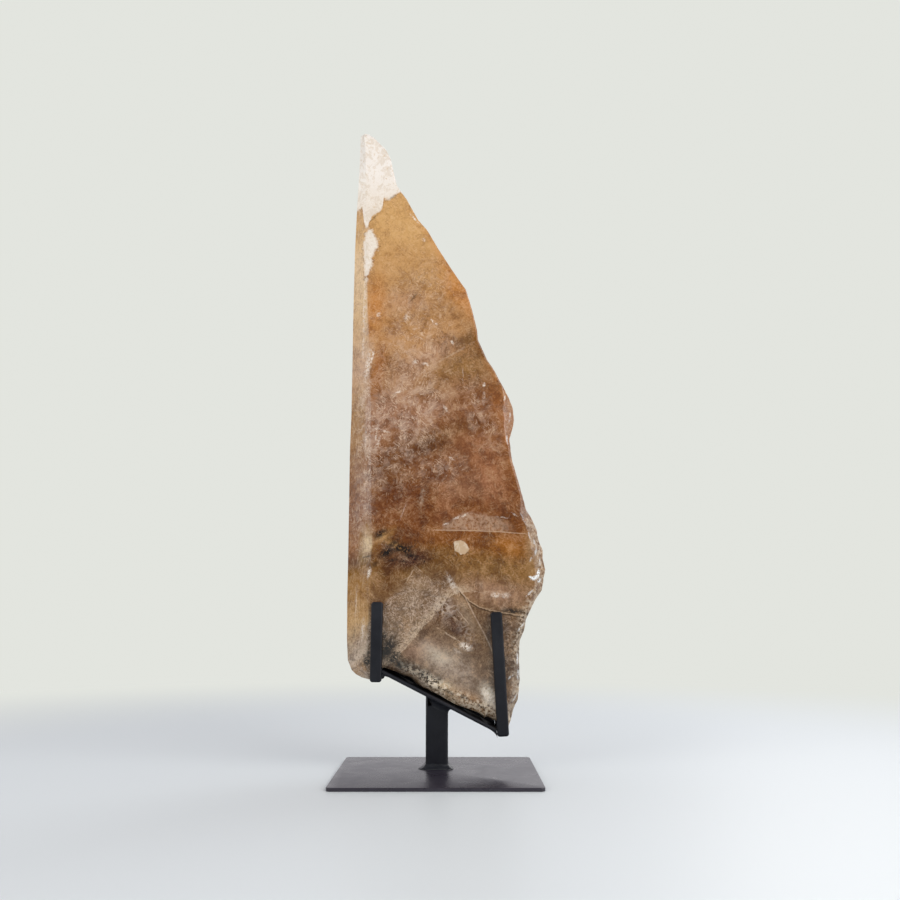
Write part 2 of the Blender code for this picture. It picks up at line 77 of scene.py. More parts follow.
# Along each edge: place (z, or x on the bottom), inset of the front face, depth of the front
# chamfer, inset of the back face, and how broken it is, from 0 to 1
LEFT_RIM = [
    (89.0, 11.0, 9.0, 6.0, 0.0), (116.0, 19.3, 12.0, 7.0, 0.0), (206.0, 22.7, 13.0, 8.0, 0.0),
    (318.0, 19.7, 11.5, 7.0, 0.0), (387.0, 17.0, 10.0, 6.0, 0.0), (435.0, 13.6, 8.0, 5.0, 0.0),
    (495.0, 10.9, 6.5, 4.0, 0.0), (556.0, 7.5, 4.5, 3.0, 0.0), (603.0, 4.0, 3.0, 2.0, 0.0),
]
BOTTOM_RIM = [
    (-77.2, 11.0, 9.0, 6.0, 0.0), (-67.0, 7.5, 7.0, 5.0, 0.1), (-58.0, 5.0, 5.0, 4.0, 0.15),
    (-49.0, 3.0, 3.0, 3.0, 0.15), (-43.0, 3.0, 2.5, 3.0, 0.7), (-11.0, 4.0, 3.0, 3.0, 1.0),
    (0.0, 8.5, 5.0, 4.0, 1.0), (30.0, 10.5, 6.0, 5.0, 1.0), (44.0, 9.0, 5.0, 5.0, 1.0),
    (62.7, 5.0, 4.5, 4.0, 1.0),
]
RIGHT_RIM = [
    (38.2, 5.0, 4.5, 4.0, 1.0), (55.0, 8.0, 6.0, 5.0, 1.0), (81.0, 8.0, 5.0, 5.0, 1.0),
    (100.0, 4.0, 3.0, 4.0, 1.0), (143.0, 3.0, 2.5, 3.0, 1.0), (152.0, 5.0, 4.0, 4.0, 1.0),
    (165.0, 8.5, 6.0, 5.0, 1.0), (181.0, 10.5, 7.0, 5.0, 1.0), (202.0, 10.0, 7.0, 5.0, 1.0),
    (218.0, 8.0, 6.0, 4.0, 0.9), (237.0, 5.0, 4.0, 3.0, 0.7), (247.0, 2.0, 2.0, 3.0, 0.5),
    (293.0, 2.0, 2.0, 3.0, 0.5), (302.0, 4.5, 4.0, 3.0, 0.6), (312.0, 9.0, 6.0, 4.0, 0.7),
    (330.0, 10.5, 7.0, 4.0, 0.7), (341.0, 4.0, 3.0, 3.0, 0.5), (350.0, 1.5, 1.5, 3.0, 0.4),
    (444.0, 1.2, 1.2, 3.0, 0.3), (601.0, 1.2, 1.2, 2.0, 0.2),
]
EDGE_ROUGHNESS = 0.8
EDGE_GRAIN = 9.0
CHIP_SIZE = 21.0
CHIP_DEPTH = 3.6
SPLINTER_SIZE = 6.5
SPLINTER_DEPTH = 0.9
WALL_TAPER = 3.0
BOTTOM_BULGE = 2.4
REST_CLEARANCE = 0.4
SHELF_SPAN = (-50.0, 54.0)
NORMAL_BLUR = 5.0
STEPS_DOWN = 330
STEPS_ACROSS = 90
CHAMFER_STEPS = 5
WALL_STEPS = 14

# ---------------------------------------------------------------- sizes of the stand
PLATE_WIDTH = 176.3
PLATE_DEPTH = 163.6
PLATE_THICKNESS = 3.0
PLATE_CORNER_RADIUS = 4.0
PLATE_MIDDLE = (0.2, -18.8)
PLATE_EDGE_ROUND = 0.4
POST_SIZE = 20.0
POST_WALL = 2.0
POST_CORNER_RADIUS = 2.0
POST_TOP = 69.0
POST_LIP = 0.35
FRONT_NOTCH = ((-8.4, 58.0), (-4.4, 58.2), (-8.4, 64.6))
BAR_HEIGHT_AT_POST = 65.6
BAR_FALL_PER_LENGTH = 0.5
BAR_THICKNESS = 3.4
BAR_FRONT = -22.0
BAR_UPSTAND_HEIGHT = 8.0
BAR_UPSTAND_THICKNESS = 3.0
BAR_EDGE_RADIUS = 1.2
BAR_INNER_RADIUS = 2.0
PRONG_WIDTH = 10.4
PRONG_THICKNESS = 6.0
PRONG_EDGE_RADIUS = 1.3
PRONG_END_RADIUS = 2.4
LEFT_PRONG = ((-54.5, 79.5), (-53.9, 150.2))
RIGHT_PRONG = ((58.9, 32.7), (53.4, 141.3))
FOOT_WELD_WIDTH = 3.6
FOOT_WELD_HEIGHT = 4.6
FOOT_WELD_FLARES = ((-10.0, -5.0, 4.0), (10.0, -5.0, 2.2))
FOOT_WELD_FLARE_REACH = 4.5
# The bead's section, as shares of its width and of its height
FOOT_WELD_SECTION = [
    (0.0, 0.0), (0.5, 0.0), (1.0, 0.0), (0.98, 0.08), (0.9, 0.17), (0.74, 0.27), (0.56, 0.38),
    (0.4, 0.5), (0.26, 0.65), (0.14, 0.82), (0.05, 0.95), (0.0, 1.0),
]
HEAD_WELD_REACH = 5.5
HEAD_WELD_DROP = 7.0
PRONG_WELD_REACH = 6.5
PRONG_WELD_DROP = 4.0
# Where the prong's bead starts and ends, out from the slab's face
PRONG_WELD_PLACE = (0.8, 3.5)

# ---------------------------------------------------------------- camera, floor and light
CAMERA_PLACE = (11.8, -911.0, 145.3)
CAMERA_PITCH = 9.19
CAMERA_LENS = 38.93
BACKDROP_COLOUR = "e8eae4"
BACKDROP_STRENGTH = 0.95
ROOM_STRENGTH = 0.3
ROOM_COLOUR = "e9e7eb"
FLOOR_COLOUR = "d6dee2"
# Floor in metres: where it starts and ends fading, how far it reaches; grains per metre
FLOOR_FADE = (0.42, 1.15)
FLOOR_REACH = 9.0
FLOOR_CORNERS = ((-1, -1), (1, -1), (1, 1), (-1, 1))
FLOOR_TOOTH = 900.0
FLOOR_ROUGHNESS = (0.4, 0.5)
FLOOR_IOR = 1.4
# The room's own light, by direction: dim in front of the slab, the backdrop's behind it
ROOM_TURN = (-0.4, 0.3)
LAMP_TARGET = (0.0, 0.0, 0.3)
# Lamps: name, place and size in metres, watts, colour
LAMPS = [
    ("window", (1.3, -1.1, 1.0), 1.5, 26.5, "fffaf4"),
    ("fill", (-1.4, -1.2, 0.9), 1.2, 12.5, "fff7ee"),
    ("back_glow", (0.9, 1.2, 1.0), 0.8, 7.0, "ffffff"),
]


def linear(hex_colour):
    """sRGB hex to linear red, green and blue."""
    channels = [int(hex_colour[index:index + 2], 16) / 255.0 for index in (0, 2, 4)]
    return [c / 12.92 if c <= 0.04045 else ((c + 0.055) / 1.055) ** 2.4 for c in channels]


def rgba(hex_colour):
    return (*linear(hex_colour), 1.0)


# ---------------------------------------------------------------- noise as whole arrays

def cell_values(cells):
    """A repeatable value from -1 to 1 for each whole-numbered cell."""
    mixed = np.sin(cells @ np.array([127.1, 311.7, 74.7])) * 43758.5453
    return 2.0 * (mixed - np.floor(mixed)) - 1.0


def smooth_noise(points):
    """Cell values blended between the eight corners round each point.

    A corner's share is the product of t * t * (3 - 2 * t) over x, y and z, t from 0 to 1."""
    base = np.floor(points)
    part = points - base
    part = part * part * (3.0 - 2.0 * part)
    total = np.zeros(points.shape[:-1])
    for corner in product((0, 1), repeat=3):
        weight = np.prod(np.where(corner, part, 1.0 - part), axis=-1)
        total += weight * cell_values(base + np.array(corner))
    return total


def chip_hollows(points):
    """Shell-shaped chips: 1 in the middle of a chip, falling to 0 on the ridges between chips.

    The hollow is 1 - 2.4 * d * d, with d the distance to the nearest of the jittered middles."""
    base = np.floor(points)
    nearest = np.full(points.shape[:-1], 4.0)
    for step in product((-1, 0, 1), repeat=3):
        cell = base + np.array(step)
        jitter = np.stack([cell_values(cell + shift) for shift in (0.2, 17.3, 41.9)], axis=-1)
        apart = points - (cell + 0.5 + 0.4 * jitter)
        nearest = np.minimum(nearest, (apart ** 2).sum(axis=-1))
    return np.clip(1.0 - 2.4 * nearest, 0.0, 1.0)


# ---------------------------------------------------------------- the sloped shelf

def shelf_top(x):
    """Height of the cradle bar's shelf: it falls by half a millimetre per millimetre of x."""
    return BAR_HEIGHT_AT_POST - BAR_FALL_PER_LENGTH * x


def shelf_underside(x):
    return shelf_top(x) - BAR_THICKNESS


# ---------------------------------------------------------------- meshes from grids

def grid_faces(numbers, wrap_rows=False, wrap_columns=False):
    """Quads between neighbouring rows and columns of a grid of vertex numbers."""
    if wrap_rows:
        numbers = np.vstack([numbers, numbers[:1]])
    if wrap_columns:
        numbers = np.hstack([numbers, numbers[:, :1]])
    corners = (numbers[:-1, :-1], numbers[1:, :-1], numbers[1:, 1:], numbers[:-1, 1:])
    return np.stack(corners, axis=-1).reshape(-1, 4).tolist()


def add_piece(name, points, faces, material, nodes, sharp=35.0):
    """Put the points, in millimetres, and faces into a mesh that stands for the CAD nodes."""
    mesh = bpy.data.meshes.new(name)
    mesh.from_pydata((np.asarray(points) * MM).tolist(), [], faces)
    mesh.validate()
    mesh.shade_smooth()
    mesh.set_sharp_from_angle(angle=math.radians(sharp))
    mesh.materials.append(material)
    piece = bpy.data.objects.new(name, mesh)
    bpy.context.scene.collection.objects.link(piece)
    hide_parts(*nodes)
    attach(piece, "root")
    return piece


def along_line(points, count):
    """Evenly spaced points along a line of straight stretches, both ends included."""
    points = np.array(points)
    lengths = np.hypot(*np.diff(points, axis=0).T)
    travelled = np.concatenate([[0.0], np.cumsum(lengths)])
    steps = np.linspace(0.0, travelled[-1], count)
    return np.column_stack([np.interp(steps, travelled, column) for column in points.T])


# ---------------------------------------------------------------- slab shape

def rim_values(table, places):
    """The four rim values of a table, read off at the given places."""
    table = np.array(sorted(table))
    return np.column_stack([np.interp(places, table[:, 0], column) for column in table[:, 1:].T])


def slab_outline():
    """Closed outline with its rim values: down the left, along the bottom, up the right."""
    left = along_line(LEFT_EDGE, STEPS_DOWN + 1)[:-1]
    bottom = along_line(BOTTOM_EDGE, STEPS_ACROSS + 1)[:-1]
    right = along_line(RIGHT_EDGE, STEPS_DOWN + 1)[:-1]
    top = along_line(TOP_EDGE, STEPS_ACROSS + 1)[:-1]
    across = np.linspace(0.0, 1.0, len(top))[:, None]
    top_rim = (1.0 - across) * rim_values(RIGHT_RIM, [601.0])
    top_rim = top_rim + across * rim_values(LEFT_RIM, [603.0])
    rim = np.vstack([
        rim_values(LEFT_RIM, left[:, 1]),
        rim_values(BOTTOM_RIM, bottom[:, 0]),
        rim_values(RIGHT_RIM, right[:, 1]),
        top_rim,
    ])
    return np.vstack([left, bottom, right, top]), rim


def inward_directions(outline):
    """Unit vectors into the stone, blurred along the outline so that insets never cross."""
    forward = np.roll(outline, -1, axis=0) - np.roll(outline, 1, axis=0)
    inward = np.column_stack([-forward[:, 1], forward[:, 0]])
    inward /= np.linalg.norm(inward, axis=1, keepdims=True)
    stretch = np.linalg.norm(np.roll(outline, -1, axis=0) - outline, axis=1)
    place = np.cumsum(stretch) - stretch
    apart = np.abs(place[:, None] - place[None, :])
    apart = np.minimum(apart, stretch.sum() - apart)
    weight = np.exp(-0.5 * (apart / NORMAL_BLUR) ** 2) * stretch[None, :]
    blurred = weight @ inward
    return blurred / np.linalg.norm(blurred, axis=1, keepdims=True)


def rim_levels(rim, inward):
    """Rows across the thickness: edge looseness, chipping, inset and depth of each."""
    front_inset, front_depth, back_inset, rough = rim.T
    half = SLAB_THICKNESS / 2.0
    back_depth = 0.7 * back_inset
    facing_down = np.clip(inward[:, 1], 0.0, 1.0) * (rough > 0.5)
    facing_right = np.clip(-inward[:, 0], 0.0, 1.0) * (rough > 0.25)
    levels = []
    for step in range(CHAMFER_STEPS):
        left_over = 1.0 - step / CHAMFER_STEPS
        dished = 0.16 * math.sin(math.pi * left_over) * rough
        inset = (left_over - dished) * front_inset
        depth = (1.0 - left_over) * front_depth - half
        levels.append((0.4 + 0.2 * (1.0 - left_over), 0.45 * (1.0 - left_over), inset, depth))
    for step in range(WALL_STEPS + 1):
        share = step / WALL_STEPS
        depth = (1.0 - share) * (front_depth - half) + share * (half - back_depth)
        hump = math.sin(math.pi * share)
        inset = WALL_TAPER * share * facing_right - BOTTOM_BULGE * hump * facing_down
        levels.append((0.5 + 0.5 * hump, min(1.0, 3.0 * share), inset, depth))
    for share in (0.35, 0.7, 1.0):
        inset = WALL_TAPER * facing_right + share * back_inset
        depth = half - (1.0 - share) * back_depth
        levels.append((0.6, 1.0 - 0.7 * share, inset, depth))
    return levels


def slab_rim():
    """Grid of the rim: one row per level across the thickness, one column round the outline.

    Each point is the outline moved inwards by the level's inset, a ragged edge and the depth
    of shell-shaped chips, and then lifted clear of the bar's shelf."""
    outline, rim = slab_outline()
    inward = inward_directions(outline)
    rough = rim[:, 3]
    rows = []
    for looseness, chipping, inset, depth in rim_levels(rim, inward):
        middle = np.column_stack([outline[:, 0], depth + 0.0 * rough, outline[:, 1]])
        ragged = EDGE_ROUGHNESS * looseness * smooth_noise(middle / EDGE_GRAIN)
        ragged += 0.35 * EDGE_ROUGHNESS * smooth_noise(middle / EDGE_GRAIN * 4.1 + 5.0)
        chipped = CHIP_DEPTH * chipping * chip_hollows(middle / CHIP_SIZE)
        chipped += SPLINTER_DEPTH * (0.25 + 0.75 * chipping) * chip_hollows(middle / SPLINTER_SIZE)
        place = outline + inward * (inset + rough * (ragged + chipped))[:, None]
        over_shelf = (place[:, 0] > SHELF_SPAN[0]) & (place[:, 0] < SHELF_SPAN[1])
        rest = shelf_top(place[:, 0]) + REST_CLEARANCE
        height = np.where(over_shelf, np.maximum(place[:, 1], rest), place[:, 1])
        rows.append(np.column_stack([place[:, 0], middle[:, 1], height]))
    return np.stack(rows), rough


def face_between_edges(border):
    """Inner points of a flat face, blended from its four edges.

    A point at shares (u, v) is the left and right edges blended by u, plus the top and bottom
    edges blended by v, less the four corners blended by both."""
    down, across = STEPS_DOWN, STEPS_ACROSS
    left = border[:down + 1]
    bottom = border[down:down + across + 1]
    right = border[down + across:2 * down + across + 1][::-1]
    top = np.vstack([border[2 * down + across:], border[:1]])[::-1]
    u = np.linspace(0.0, 1.0, across + 1)[None, 1:-1, None]
    v = np.linspace(0.0, 1.0, down + 1)[1:-1, None, None]
    sides = (1.0 - u) * left[1:-1, None] + u * right[1:-1, None]
    ends = (1.0 - v) * top[None, 1:-1] + v * bottom[None, 1:-1]
    corners = (1.0 - v) * ((1.0 - u) * top[0] + u * top[-1])
    corners = corners + v * ((1.0 - u) * bottom[0] + u * bottom[-1])
    return sides + ends - corners


def face_numbers(border_numbers, first_inner):
    """Vertex numbers of a face's whole grid, its border taken from the rim."""
    down, across = STEPS_DOWN, STEPS_ACROSS
    grid = np.zeros((down + 1, across + 1), dtype=int)
    around = np.append(border_numbers, border_numbers[0])
    grid[:, 0] = around[:down + 1]
    grid[-1, :] = around[down:down + across + 1]
    grid[:, -1] = around[down + across:2 * down + across + 1][::-1]
    grid[0, :] = around[2 * down + across:][::-1]
    inner = first_inner + np.arange((down - 1) * (across - 1))
    grid[1:-1, 1:-1] = inner.reshape(down - 1, across - 1)
    return grid


def slab_mesh():
    """Points and faces of the slab, with how broken the surface is at each point."""
    rim, rough = slab_rim()
    levels, count = rim.shape[:2]
    front = face_between_edges(rim[0]).reshape(-1, 3)
    back = face_between_edges(rim[-1]).reshape(-1, 3)
    points = np.vstack([rim.reshape(-1, 3), front, back])
    numbers = np.arange(levels * count).reshape(levels, count)
    front_grid = face_numbers(numbers[0], levels * count)
    back_grid = face_numbers(numbers[-1], levels * count + len(front))
    faces = grid_faces(numbers, wrap_columns=True)
    faces += grid_faces(front_grid)
    faces += grid_faces(back_grid[:, ::-1])
    inside = np.ones(levels)
    inside[0] = 0.0
    inside[1] = 0.75
    inside[-1] = 0.0
    broken = np.zeros(len(points))
    broken[:levels * count] = (inside[:, None] * rough[None, :]).ravel()
    return points, faces, broken


# ---------------------------------------------------------------- colours of the quartz

# Each colour by its name
STONE = {
    "chalk": "e6decc", "cream": "dcc7a3", "straw": "c79f6d", "honey": "bc9263",
    "tan": "b2875d", "biscuit": "a57f5c", "hazel": "926c4b", "sand": "c3a079", "rose": "9a6a4e",
    "blush": "b4917c", "amber": "c07f42", "rust": "9a6540", "russet": "86562c",
    "cinnamon": "7c4f32", "chestnut": "845a40", "camel": "8e7053", "olive": "8f6b43",
    "moss": "745330", "umber": "68482f", "bark": "523823", "smoke": "786350", "fog": "8b7a69",
    "cloud": "ab9b8d", "mist": "c6b7aa", "soot": "3b3028", "wheat": "d4b794",
    "cocoa": "604838", "shade": "a68a6f", "glow": "dfb991", "feather": "dcc6b6",
    "thread": "ddbd95", "streak": "dfc6a6", "powder": "c2ae9c", "grit": "5a4737",
    "lint": "cdb9a8", "seam": "d3bda3", "bubble": "cfc0b2", "char": "1c140e", "ink": "100b08",
    "shelf": "b7977e", "shelf_edge": "d3b79a", "cleft": "3a2717", "cleft_lip": "c9ae8e",
    "crack": "c3ad97", "scratch": "d9c3aa", "flake": "decdb5", "worn_flake": "c9af91",
    "spot": "f3ebe1", "rust_stain": "7a5228", "low_cap": "e9e1d8", "high_cap": "f1edea",
    "grey_cap": "d2c4b3", "tan_cap": "cdb591", "cap_thread": "f6f2ee", "lit_crystal": "f0e2cc",
    "black_crystal": "1d150f", "rind": "5c4737", "pale_rind": "9e8976", "sugar": "efe6da",
    "bruise": "f6fbff", "smoke_inside": "b98a58",
}
# Growth zones up the front face and up the left facet: height and colour
FACE_ZONES = [
    (57, "fog"), (96, "smoke"), (124, "smoke"), (150, "camel"), (178, "olive"), (206, "russet"),
    (232, "cinnamon"), (256, "cinnamon"), (290, "chestnut"), (330, "chestnut"), (350, "hazel"),
    (372, "biscuit"), (396, "tan"), (430, "tan"), (474, "honey"), (500, "straw"),
]
FACET_ZONES = [
    (86, "mist"), (93, "biscuit"), (104, "mist"), (118, "cloud"), (136, "sand"), (164, "biscuit"),
    (176, "hazel"), (192, "umber"), (206, "russet"), (240, "cinnamon"), (282, "chestnut"),
    (338, "biscuit"), (372, "blush"), (420, "sand"), (450, "wheat"), (478, "wheat"),
    (506, "straw"), (528, "honey"), (548, "chalk"),
]
# Place of the facet's right limit at each height
FACET_LIMIT = [
    (92, -64), (134, -61), (165, -62), (197, -60), (222, -62), (287, -66), (340, -71), (351, -70),
    (368, -65.5), (381, -62), (389, -65), (401, -66), (451, -68.5), (503, -70), (600, -71),
]
# Clouds of colour: strength, middle (x, z), reach (along, across), turn
CLOUDS = [
    ("amber", 0.6, -59, 430, 26, 9, 85), ("amber", 0.6, 24, 440, 34, 10, -58),
    ("hazel", 0.6, 36, 408, 22, 6, -78), ("straw", 0.35, -27, 459, 26, 16, 0),
    ("olive", 0.25, -12, 420, 26, 12, 20), ("blush", 0.35, -30, 434, 20, 12, 0),
    ("rust", 0.75, -56, 366, 30, 7, 80), ("moss", 1, 30, 396, 18, 5, 14),
    ("bark", 0.7, 44, 383, 26, 7, -62), ("olive", 0.9, 22, 366, 22, 18, 0),
    ("chestnut", 0.8, 34, 344, 26, 16, 0), ("blush", 0.5, -4, 382, 30, 9, 25),
    ("blush", 0.45, -40, 338, 46, 16, 60), ("rust", 0.8, 60, 330, 28, 9, -75),
    ("umber", 0.9, 4, 302, 34, 12, 15), ("blush", 0.4, -8, 328, 30, 12, 50),
    ("umber", 0.6, -46, 268, 30, 14, 70), ("rose", 0.5, 30, 292, 30, 12, -30),
    ("rose", 0.9, 4, 242, 26, 14, 80), ("rose", 0.9, 48, 262, 34, 14, -65),
    ("cinnamon", 0.9, -12, 232, 34, 14, 60), ("blush", 0.25, 28, 254, 22, 12, 0),
    ("russet", 0.8, 30, 203, 34, 8, -3), ("amber", 0.45, 64, 200, 16, 10, -20),
    ("olive", 0.8, 50, 182, 30, 10, -8), ("blush", 0.55, 54, 158, 30, 11, -4),
    ("camel", 1, 42, 110, 20, 7, -62), ("bark", 1, -26, 187, 32, 11, 0),
    ("umber", 0.85, -44, 204, 16, 10, -20), ("straw", 0.75, -50, 208, 9, 3.2, 35),
    ("straw", 0.55, -41, 201, 9, 2.4, -30), ("umber", 0.8, -44, 168, 24, 12, 80),
    ("olive", 0.5, 10, 192, 16, 7, 0), ("smoke", 0.7, -20, 140, 42, 22, 40),
    ("sand", 0.45, -36, 116, 26, 10, 55), ("cocoa", 0.95, 8, 140, 20, 12, -40),
    ("bark", 0.9, 20, 124, 20, 9, -38), ("cocoa", 0.8, 28, 112, 16, 6, -60),
    ("cocoa", 0.55, 4, 170, 14, 8, -20), ("fog", 0.7, 27, 139, 18, 4, -62),
    ("fog", 0.4, -22, 160, 18, 12, 40), ("cocoa", 0.8, -8, 124, 24, 7, 52),
    ("blush", 0.45, -16, 106, 24, 9, 20), ("cloud", 1, 12, 92, 28, 11, -30),
    ("chalk", 0.35, 0, 104, 16, 7, -30), ("cloud", 0.6, 16, 72, 32, 5.5, -27),
    ("cocoa", 0.7, 40, 84, 14, 7, -60), ("soot", 1, -44, 106, 19, 10, 60),
    ("soot", 0.8, -30, 92, 12, 7, 0), ("soot", 0.6, -12, 82, 16, 5, -35),
    ("moss", 0.62, 64, 112, 24, 9, 80), ("moss", 0.65, 66, 76, 26, 9, 85),
    ("chalk", 1, 46, 68, 9.5, 5.5, -58), ("cream", 0.75, 5, 75, 10, 4.5, -27),
    ("sand", 0.9, 30, 60, 26, 6, -28), ("cream", 0.25, 86, 205, 26, 5, 88),
    ("camel", 0.7, 92, 165, 14, 7, 60),
]
# Patches, each a strength, middle, reach and turn
VEILS = [
    (0.9, -28, 320, 62, 32, 75), (0.9, -56, 312, 50, 16, 85), (0.65, 2, 274, 24, 14, -10),
    (0.6, -20, 392, 44, 30, 70), (0.55, 38, 326, 40, 16, -70), (0.45, -14, 436, 40, 30, 60),
    (0.9, -28, 293, 14, 8, 25), (1, -68, 300, 110, 11, 90), (0.35, 50, 160, 30, 10, 0),
    (0.55, 6, 144, 20, 12, -40), (0.5, 60, 110, 50, 12, 85), (0.9, -71, 102, 24, 12, 90),
    (0.6, -50, 272, 30, 10, 80),
]
SPECKS = [
    (0.8, -34, 200, 20, 9, 0), (0.85, -20, 188, 28, 9, 0), (1, -42, 103, 16, 12, 60),
    (0.5, -66, 99, 18, 12, 0), (0.85, -8, 79, 40, 8, -27), (0.3, -28, 436, 40, 26, 60),
    (0.55, 30, 190, 40, 12, 0), (0.55, 70, 96, 60, 10, 90), (0.35, -30, 260, 50, 24, 60),
    (0.4, 42, 376, 30, 14, -60), (0.6, 66, 120, 26, 9, 80), (0.5, -28, 126, 30, 16, 45),
    (0.5, -74, 128, 18, 8, 88),
]
CLEAR_STONE = [
    (0.5, 10, 93, 62, 34, -20), (0.8, 60, 107, 60, 30, 85), (0.7, 60, 197, 60, 30, 80),
    (0.5, -10, 237, 70, 40, 70), (0.4, 20, 397, 80, 30, -60),
]
CAP_BORDER = [
    (-90, 531), (-72.5, 529), (-71.5, 506), (-67.5, 506), (-66.5, 511), (-63.5, 519),
    (-56, 523.5), (-53.5, 529), (-52.5, 536), (-46, 538), (-38, 543), (-20, 550),
]
MILK_PATCH = [
    (-66, 509), (-61, 502), (-56, 494), (-58, 485), (-62.5, 477), (-62.5, 469), (-65.5, 460),
    (-68.5, 451), (-71.5, 465), (-71.5, 477), (-72.5, 491), (-70.5, 501),
]
# Cracks seen in the front face, drawn so that the paler stone lies on their left
FROST_EDGE = [
    (-52, 90), (-38, 98), (-33, 104), (-24, 114), (-12, 129), (-6, 134), (3, 146), (10, 154),
    (19, 159), (26, 159),
]
FROST_TOP = [
    (-60, 134), (-48.5, 148), (-43.5, 154), (-29, 165.5), (-19.5, 182), (-5, 169), (10, 170),
    (19.3, 163), (26, 155),
]
RIGHT_LEG = [
    (54, 84), (52.5, 95), (49.8, 106.6), (43.6, 120.3), (33.4, 139.1), (25.8, 154.3),
    (19.3, 163.2),
]
SHELL_CRACK = [
    (21, 159), (25.8, 154.3), (30, 150), (37.4, 145.6), (48, 142.3), (60, 140), (72, 138),
    (94, 136),
]
LEDGE_FLOOR = [
    (-1, 215.5), (30, 215), (57, 214), (80, 212),
]
LEDGE_TOP = [
    (4, 217), (7, 222), (12, 223), (16, 227), (23, 231), (32, 232), (43, 230), (60, 226),
    (69, 221), (78, 214),
]
FLAKE = [
    (15, 205), (21, 206.5), (26, 204.5), (30, 198), (26, 193.5), (21, 192.5), (19, 196),
    (16, 195),
]
FACET_PATCH = [
    (-70, 211.5), (-60.5, 210), (-59.5, 200), (-61, 196.5), (-69.5, 197),
]
# Middle, reach and turn: the gap in the frosted zone, and the paler stone round the facet's patch
FROST_HOLE = (-44, 104, 15, 9, 50)
PATCH_HALO = (-66, 205, 14, 6.5, 88)
FAR_AWAY = 100.0
# Stone colours are as seen; the polish adds this much white light, which the stone leaves out
POLISH_LIFT = 0.03
STONE_GAIN = 1.1
# More of that light meets the side facet, mostly blue
FACET_LIFT = (0.0, 0.004, 0.028)
# The zones lean, so that they meet the back face further right and lower down
ZONE_LEAN = (0.35, -0.6)
# Their borders waver by that much in each direction, over waves of that size
SWAY, SWAY_SIZE = 4.0, 34.0
STIR, STIR_SIZE = 2.2, 11.0


def colour_line(zones, heights):
    """Colour at each height, blended between named heights in linear light."""
    heights_known = [height for height, name in zones]
    colours = np.array([linear(STONE[name]) for height, name in zones])
    return np.column_stack([np.interp(heights, heights_known, column) for column in colours.T])


def closeness(x, z, middle_x, middle_z, along, across, turn):
    """1 in the middle of a turned ellipse, about a third at its edge, 0 well outside.

    It is exp(-d ** 2.4), with d the distance as a share of the ellipse's reach that way."""
    angle = math.radians(turn)
    way_along = (x - middle_x) * math.cos(angle) + (z - middle_z) * math.sin(angle)
    way_across = (z - middle_z) * math.cos(angle) - (x - middle_x) * math.sin(angle)
    return np.exp(-np.hypot(way_along / along, way_across / across) ** 2.4)


def patchwork(x, z, patches):
    """Share of the strongest patch at each point."""
    total = np.zeros_like(x)
    for strength, *ellipse in patches:
        total = np.maximum(total, strength * closeness(x, z, *ellipse))
    return total


def from_line(line, x, z):
    """Distance to a line of straight stretches, positive on the left of its direction."""
    distance = np.full(x.shape, np.inf)
    for (from_x, from_z), (to_x, to_z) in zip(line[:-1], line[1:]):
        run, rise = to_x - from_x, to_z - from_z
        share = ((x - from_x) * run + (z - from_z) * rise) / (run ** 2 + rise ** 2)
        share = np.clip(share, 0.0, 1.0)
        apart = np.hypot(x - from_x - share * run, z - from_z - share * rise)
        side = np.where(run * (z - from_z) - rise * (x - from_x) >= 0.0, 1.0, -1.0)
        distance = np.where(apart < np.abs(distance), side * apart, distance)
    return np.clip(distance, -FAR_AWAY, FAR_AWAY)


def within(outline, x, z):
    """Distance to a closed outline, positive inside, where a level ray crosses it an odd time."""
    closed = outline + outline[:1]
    inside = np.zeros(x.shape, dtype=bool)
    for (from_x, from_z), (to_x, to_z) in zip(closed[:-1], closed[1:]):
        if from_z != to_z:
            crossing = from_x + (z - from_z) * (to_x - from_x) / (to_z - from_z)
            inside ^= ((from_z > z) != (to_z > z)) & (x < crossing)
    distance = np.abs(from_line(closed, x, z))
    return np.where(inside, distance, -distance)


def ramp(value, low, high):
    """0 up to low, 1 from high on, and (value - low) / (high - low) between them."""
    return np.clip((value - low) / (high - low), 0.0, 1.0)


def line_height(line, x):
    """Height of a line of straight stretches over the place x."""
    line = np.array(line)
    return np.interp(x, line[:, 0], line[:, 1])


def blended(tone, share, colour):
    """Tone with a share of one named colour, or of a colour for each point, laid over it."""
    over = np.array(linear(STONE[colour])) if isinstance(colour, str) else colour
    return tone * (1.0 - share[:, None]) + over * share[:, None]


